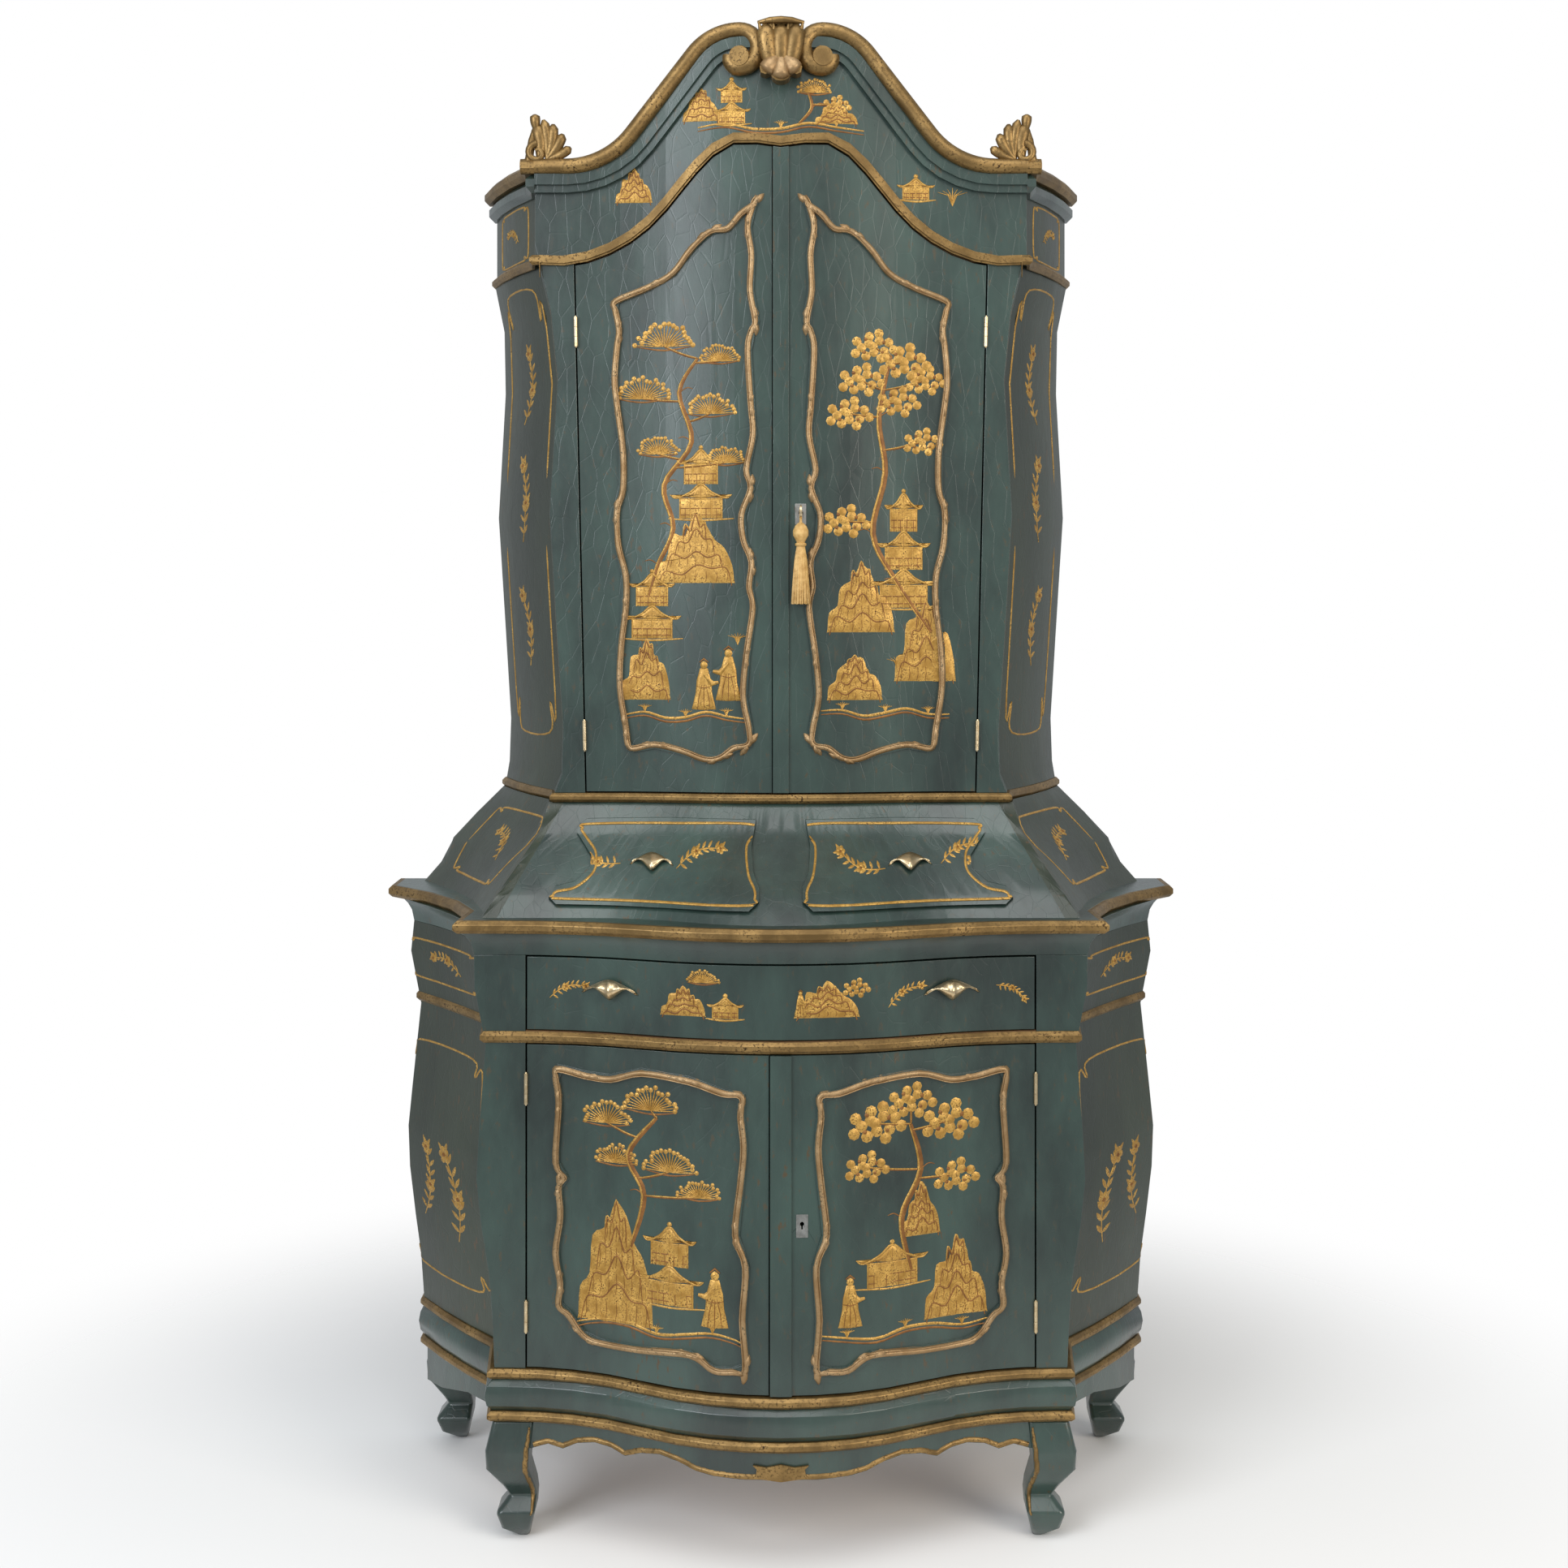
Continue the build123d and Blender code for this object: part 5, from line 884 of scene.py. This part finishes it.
front_shares = [
    (0, 1), (0.42, 1.01), (0.84, 0.99), (0.88, 0.92), (0.89, 0.83), (0.85, 0.7), (0.81, 0.57),
    (0.81, 0.42), (0.88, 0.27), (0.97, 0.22), (1, 0.11), (0.96, 0.02), (0.5, 0), (0.03, 0.01),
    (-0.02, 0.12), (-0.02, 0.26), (0.01, 0.42), (0.02, 0.7),
]
for side, word in ((-1, "left"), (1, "right")):
    art = Picture(6)
    rim = frame_line(front_shares, (40, 996), (325, 124), side, 8)
    art.gold.stroke(flowing(rim, 8, True), 0.004, 0.0018, closed=True)
    art.spray(side * 0.165, 1.05, 0.075, math.pi / 2 + side * 1.2)
    art.spray(side * 0.255, 1.055, 0.07, math.pi / 2 - side * 1.2)
    art.round_tree(side * 0.31, 1.06, 0.014)
    art.lay(f"flowers_drawer_{word}", [f"small_drawer_front_{word}"], f"small_drawer_{word}")

art = Picture(7)
art.pavilion(-0.08, 2.245, 0.055, 2)
art.rock(-0.13, 2.25, 0.06, 0.05)
art.trunk([(0.03, 2.245), (0.05, 2.27), (0.045, 2.295)], 0.006)
art.pine(0.055, 2.295, 0.03)
art.round_tree(0.09, 2.275, 0.022)
art.rock(0.09, 2.245, 0.07, 0.03)
art.shore(0.0, 2.24, 0.27)
art.rock(-0.24, 2.12, 0.06, 0.05)
art.pavilion(0.22, 2.125, 0.055, 1)
art.grass(0.28, 2.115, 0.03)
art.lay("picture_frieze", ["frieze"], "case")

# %% [markdown]
# The slanting sides are plainer. A thin gilt line with scrolled corners frames each panel, and
# sprays stand in it, so the piece also looks finished from a corner of the room.

# %% Lines and sprays on the sides
def side_panel(name, node, side, centre, size, sprays):
    """Scroll-cornered line with sprays inside it."""
    picture = Picture(9)
    y, z = centre
    w, h = size[0] / 2, size[1] / 2
    line = []
    for sx, sz, flip in ((1, 1, 0), (1, -1, 1), (-1, -1, 0), (-1, 1, 1)):
        corner = [(w, h * 0.82), (w * 0.78, h * 0.86), (w * 0.7, h)]
        if flip:
            corner.reverse()
        line += [(y + sx * a, z + sz * b) for a, b in reversed(corner)]
    picture.gold.stroke(flowing(line, 5, True), 0.0035, 0.0012, closed=True)
    for dy, dz, length, angle in sprays:
        picture.spray(y + dy, z + dz, length, angle)
    picture.lay(name, [node], "case", side, "lacquer_side")


for side, word in ((-1, "left"), (1, "right")):
    side_panel(
        f"panel_upper_{word}", f"upper_side_{word}", side, (0.14, 1.62), (0.16, 0.74),
        ((0, -0.05, 0.13, 1.5), (0.01, 0.15, 0.12, 1.7), (0, -0.26, 0.12, 1.4)),
    )
    side_panel(
        f"panel_frieze_{word}", f"upper_side_{word}", side, (0.14, 2.085), (0.14, 0.09),
        ((-0.03, -0.01, 0.06, 0.3),),
    )
    side_panel(
        f"panel_lower_{word}", f"lower_side_{word}", side, (0.085, 0.53), (0.22, 0.38),
        ((-0.04, -0.12, 0.14, 1.4), (0.05, -0.1, 0.12, 1.7)),
    )
    side_panel(
        f"panel_drawer_{word}", f"lower_side_{word}", side, (0.085, 0.86), (0.22, 0.065),
        ((-0.05, -0.01, 0.08, 0.2),),
    )
    side_panel(
        f"panel_slope_{word}", "slope_sides", side, (0.10, 1.06), (0.20, 0.11),
        ((-0.04, -0.02, 0.08, 0.5),),
    )

# %% [markdown]
# Round carved work is built from tubes whose thickness changes along the way: the gilt roll of the
# cornice, its scrolls, the lobes of the shell and the finials, and the strands of the tassel.

# %% Tubes that swell and taper
def tube(points, radii, sides=12, flat=1.0):
    """Rings and faces of a closed tube through points; flat squeezes it from front to back."""
    verts = []
    faces = []
    count = len(points)
    up = Vector((0, 1, 0))
    for i in range(count):
        way = (Vector(points[min(i + 1, count - 1)]) - Vector(points[max(i - 1, 0)])).normalized()
        across = way.cross(up)
        if across.length < 0.1:
            across = way.cross(Vector((1, 0, 0)))
        across.normalize()
        up_here = across.cross(way)
        for k in range(sides):
            turn = math.tau * k / sides
            out = across * math.cos(turn) + up_here * math.sin(turn) * flat
            verts.append(Vector(points[i]) + out * radii[i])
    for i in range(count - 1):
        for k in range(sides):
            n = (k + 1) % sides
            faces.append((i * sides + k, i * sides + n, (i + 1) * sides + n, (i + 1) * sides + k))
    faces.append(tuple(range(sides))[::-1])
    faces.append(tuple((count - 1) * sides + k for k in range(sides)))
    return verts, faces


def carved(name, tubes, material, body):
    """One piece out of several tubes."""
    verts = []
    faces = []
    for part_verts, part_faces in tubes:
        start = len(verts)
        verts += part_verts
        faces += [tuple(start + i for i in face) for face in part_faces]
    return new_piece(name, verts, faces, material, body, sharp=60)


def lobe(start, end, thick, bend=0.0, flat=0.8):
    """Fat petal from a thin foot to a round tip."""
    a, b = Vector(start), Vector(end)
    across = (b - a).cross(Vector((0, 1, 0))).normalized()
    points = []
    radii = []
    for k in range(9):
        t = k / 8
        points.append(a.lerp(b, t) + across * math.sin(math.pi * t) * bend)
        fat = 0.3 + 0.7 * math.sin(math.pi * min(t * 0.62 + 0.08, 1))
        radii.append(thick * fat * (1 if k < 8 else 0.35))
    return tube(points, radii, 10, flat)


def spiral(centre, first, last, start, turns, thick, steps=28):
    """Scroll that curls inward and thins on its way."""
    points = []
    radii = []
    for k in range(steps + 1):
        t = k / steps
        turn = start + turns * math.tau * t
        radius = first + (last - first) * t
        points.append((
            centre[0] + math.cos(turn) * radius, centre[1], centre[2] + math.sin(turn) * radius,
        ))
        radii.append(thick * (1 - 0.45 * t))
    return tube(points, radii, 10, 0.9)


# %% Gilt roll and scrolls of the cornice
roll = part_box("cornice_roll")
print(
    "cornice roll from", tuple(round(v, 3) for v in roll[0]), "to", tuple(round(v, 3) for v in roll[1]),
)
corner_x, centre_x = 0.423, 0.067
low, high = 2.178, 2.395
foot_round, crown_round, slant = 0.135, 0.095, math.radians(52)
climb = high - low - (foot_round + crown_round) * (1 - math.cos(slant))
foot_x = centre_x + (foot_round + crown_round) * math.sin(slant) + climb / math.tan(slant)


def roll_depth(x):
    """Depth of the middle of the roll, which steps back toward the corners."""
    return -0.035 + 0.025 * abs(x) / corner_x


def roll_line():
    """Middle of the roll from a corner to the scroll beside the crest."""
    line = [(corner_x * (1 - k / 8) + foot_x * k / 8, low) for k in range(9)]
    for k in range(1, 13):
        turn = slant * k / 12
        line.append((foot_x - foot_round * math.sin(turn), low + foot_round * (1 - math.cos(turn))))
    for k in range(0, 13):
        turn = slant * (1 - k / 12)
        line.append((
            centre_x + crown_round * math.sin(turn), high - crown_round * (1 - math.cos(turn)),
        ))
    for k in range(1, 15):
        turn = math.pi * k / 14
        line.append((centre_x - 0.03 * math.sin(turn), high - 0.03 + 0.03 * math.cos(turn)))
    for k in range(1, 9):
        turn = math.pi * k / 14
        line.append((centre_x + 0.015 * math.sin(turn), high - 0.045 - 0.015 * math.cos(turn)))
    return line


roll_thick = 0.0128
tubes = []
for side in (-1, 1):
    path = [(side * x, roll_depth(x), z) for x, z in roll_line()]
    swell = [
        roll_thick + (0.002 * math.sin((k - 34) / 21 * math.pi) if k > 34 else 0)
        for k in range(len(path))
    ]
    tubes.append(tube(path, swell, 14))
    tubes.append(spiral(
        (side * centre_x, roll_depth(centre_x) - 0.006, high - 0.045), 0.012, 0.003, math.pi / 2,
        side * 1.2, 0.008, 16,
    ))
carved("cornice_roll_round", tubes, gilding, "case")

# %% [markdown]
# A shell stands between the scrolls: three flutes open toward a flat top edge, and three fat lobes
# close it below. A smaller shell leaf with a curled volute stands on each front corner.

# %% Crest and corner finials
tubes = []
for share in (-0.72, 0.0, 0.72):
    tubes.append(lobe(
        (share * 0.012, -0.05, 2.318), (share * 0.034, -0.056, 2.398), 0.0155, -share * 0.005, 0.7,
    ))
for share in (-1.05, -0.36, 0.36, 1.05):
    tubes.append(lobe((share * 0.012, -0.052, 2.325), (share * 0.034, -0.058, 2.400), 0.004, 0, 1.0))
tubes.append(tube(
    [
        (-0.037, -0.054, 2.401), (-0.018, -0.06, 2.4035), (0, -0.062, 2.404), (0.018, -0.06, 2.4035),
        (0.037, -0.054, 2.401),
    ],
    [0.003, 0.005, 0.0055, 0.005, 0.003], 10,
))
carved("crest_flutes", tubes, gilding, "case")
tubes = [lobe(
    (side * 0.006, -0.054, 2.345), (side * 0.026, -0.058, 2.322), 0.014, 0, 0.8,
) for side in (-1, 1)]
tubes.append(lobe((0, -0.055, 2.345), (0, -0.06, 2.31), 0.014, 0, 0.8))
carved("crest_lobes", tubes, rose_gilding, "case")

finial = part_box("finials")
print(
    "finials from", tuple(round(v, 3) for v in finial[0]), "to", tuple(round(v, 3) for v in finial[1]),
)
tubes = []
for side in (-1, 1):
    depth = (finial[0][1] + finial[1][1]) / 2 - 0.002

    def at(x, z, forward=0.0):
        """Point on a finial by its distance from the middle of the cabinet."""
        return (side * x, depth - forward, z)

    tubes.append(spiral(at(0.396, 2.199, 0.004), 0.016, 0.004, math.pi / 2, side * -1.1, 0.0065, 24))
    tubes.append(lobe(at(0.392, 2.188), at(0.398, 2.246), 0.0115, side * 0.004, 0.8))
    tubes.append(lobe(at(0.398, 2.236, 0.002), at(0.400, 2.262, 0.002), 0.0085, 0, 0.9))
    for x, z, thick in (
        (0.386, 2.253, 0.0085), (0.370, 2.246, 0.009), (0.354, 2.230, 0.009), (0.341, 2.208, 0.008),
    ):
        tubes.append(lobe(at(0.380, 2.190), at(x, z, 0.003), thick, side * 0.003, 0.75))
    tubes.append(tube([at(0.41, 2.181), at(0.38, 2.181), at(0.345, 2.184)], [0.006, 0.009, 0.005], 10))
    tubes.append(tube([at(0.41, 2.186), at(0.405, 2.22), at(0.40, 2.24)], [0.007, 0.006, 0.004], 10))
finials = carved("corner_finials", tubes, gilding, "case")
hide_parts("finials")

# %% [markdown]
# The drawer pulls are cast leaves. A middle lobe droops over the fingers and two pointed wings
# spread beside it; the cast metal is thin at its rim and hollow behind.

# %% Leaf pulls on the drawers
def leaf_pull(name, places, width, height, proud, nodes, body, ribs):
    """Cast leaf with ribs, wings and a drooping lip, on one or more places."""
    ground = Ground(nodes)
    verts = []
    faces = []
    wide, tall = 24, 8
    for x, z in places:
        start = len(verts)
        for j in range(tall + 1):
            v = j / tall
            for i in range(wide + 1):
                u = 2 * i / wide - 1
                top = 0.5 - 0.55 * abs(u) ** 1.5
                foot = -0.5 + 0.62 * abs(math.sin(u * math.pi * 0.75)) ** 1.5 - 0.12 * abs(u)
                px = x + u * width / 2 * (1 - 0.12 * (1 - v))
                pz = z + height * (top * (1 - v) + foot * v)
                hit = ground.spot(px, pz)
                base = hit.y if hit else ground.spot(x, z).y
                dome = math.sin(math.pi * min(0.12 + v * 0.75, 1)) * (1 - abs(u) ** 2.2)
                rib = 1 - 0.18 * abs(math.sin(u * math.pi * ribs))
                verts.append((px, base - proud * (0.08 + 0.92 * dome * rib), pz))
        for j in range(tall):
            for i in range(wide):
                a = start + j * (wide + 1) + i
                faces.append((a, a + 1, a + wide + 2, a + wide + 1))
    mesh = bpy.data.meshes.new(name)
    mesh.from_pydata(verts, [], faces)
    mesh.shade_smooth()
    mesh.materials.append(pale_bronze)
    pull = bpy.data.objects.new(name, mesh)
    scene.collection.objects.link(pull)
    thick = pull.modifiers.new("cast_wall", "SOLIDIFY")
    thick.thickness = 0.002
    thick.offset = 1
    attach(pull, body)
    return pull


pull = leaf_pull(
    "leaf_pulls_long", ((-0.265, 0.8725), (0.265, 0.8725)), 0.088, 0.032, 0.026, ["long_drawer_front"],
    "long_drawer", 2.5,
)
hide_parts("long_drawer_pulls")
for side, word in ((-1, "left"), (1, "right")):
    pull = leaf_pull(
        f"leaf_pull_{word}", ((side * 0.205, 1.06),), 0.07, 0.025, 0.02,
        [f"small_drawer_front_{word}"], f"small_drawer_{word}", 1.5,
    )
    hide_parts(f"small_drawer_pull_{word}")

# %% [markdown]
# A gold silk tassel hangs from the key. Its wooden head is covered with thread, a tight band holds
# the neck, and the skirt is of loose strands, so it is built strand by strand.

# %% Tassel
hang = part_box("tassel")
middle = (hang[0] + hang[1]) / 2
top, bottom = hang[1][2], hang[0][2]
print("tassel from", round(bottom, 3), "to", round(top, 3))
length = top - bottom
tubes = [
    tube(
        [(middle.x, middle.y, top - length * s) for s in (0, 0.06, 0.12, 0.18)],
        [0.0018, 0.0022, 0.0022, 0.003], 8,
    ),
    tube(
        [(middle.x, middle.y, top - length * s) for s in (0.15, 0.18, 0.23, 0.28, 0.33, 0.36)],
        [0.004, 0.009, 0.0125, 0.0125, 0.008, 0.006], 20,
    ),
    tube(
        [(middle.x, middle.y, top - length * s) for s in (0.355, 0.365, 0.385, 0.395)],
        [0.0065, 0.009, 0.009, 0.007], 20,
    ),
]
for ring_radius, count in ((0.0135, 40), (0.010, 26), (0.0055, 12)):
    for k in range(count):
        turn = math.tau * k / count
        sway = 0.0012 * math.sin(k * 2.3)
        line = []
        for t in (0, 0.25, 0.5, 0.75, 1):
            spread = ring_radius * (0.42 + 0.58 * t ** 0.6) + sway * t
            line.append((
                middle.x + math.cos(turn) * spread, middle.y + math.sin(turn) * spread,
                top - length * (0.38 + 0.61 * t + 0.004 * math.sin(k * 1.7) * t),
            ))
        tubes.append(tube(line, [0.0008, 0.0011, 0.0012, 0.0012, 0.0009], 5))
tassel = carved("silk_tassel", tubes, silk, "tassel")
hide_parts("tassel")

# %% [markdown]
# The legs are sawn from thick wood and rasped round, so their copy gets a wide soft edge. A gilt
# line follows the scalloped edge of the front apron and runs on down the inner edge of each front leg.

# %% Legs and gilt edges
legs = rubbed("legs", 6, 50)
legs.modifiers["rubbed_edge"].segments = 4
apron_ground = Ground(["aprons"])
edge = Drawing()
apron_high, apron_low = 0.19, 0.05
for side in (-1, 1):
    path = []
    for k in range(141):
        x = side * (0.002 + k * 0.003)
        z = apron_high
        if apron_ground.spot(x, z) is None:
            continue
        while z > apron_low and apron_ground.spot(x, z - MM):
            z -= MM
        path.append((x, z + 0.004))
    edge.stroke(path, 0.009, 0.003, taper=False)
lay("apron_gilt_edge", edge, apron_ground, gilding, "case")
leg_ground = Ground(["legs"])
edge = Drawing()
for side in (-1, 1):
    path = []
    for k in range(36):
        z = 0.185 - k * 0.004
        for step in range(120):
            x = 0.36 + step * 0.0015
            hit = leg_ground.spot(side * x, z)
            if hit and hit.y < 0:
                path.append((side * (x + 0.004), z))
                break
    edge.stroke(path, 0.008, 0.003)
lay("leg_gilt_edge", edge, leg_ground, gilding, "case")

# %% [markdown]
# Last, the view layer is brought up to date.

# %% Finish
bpy.context.view_layer.update()
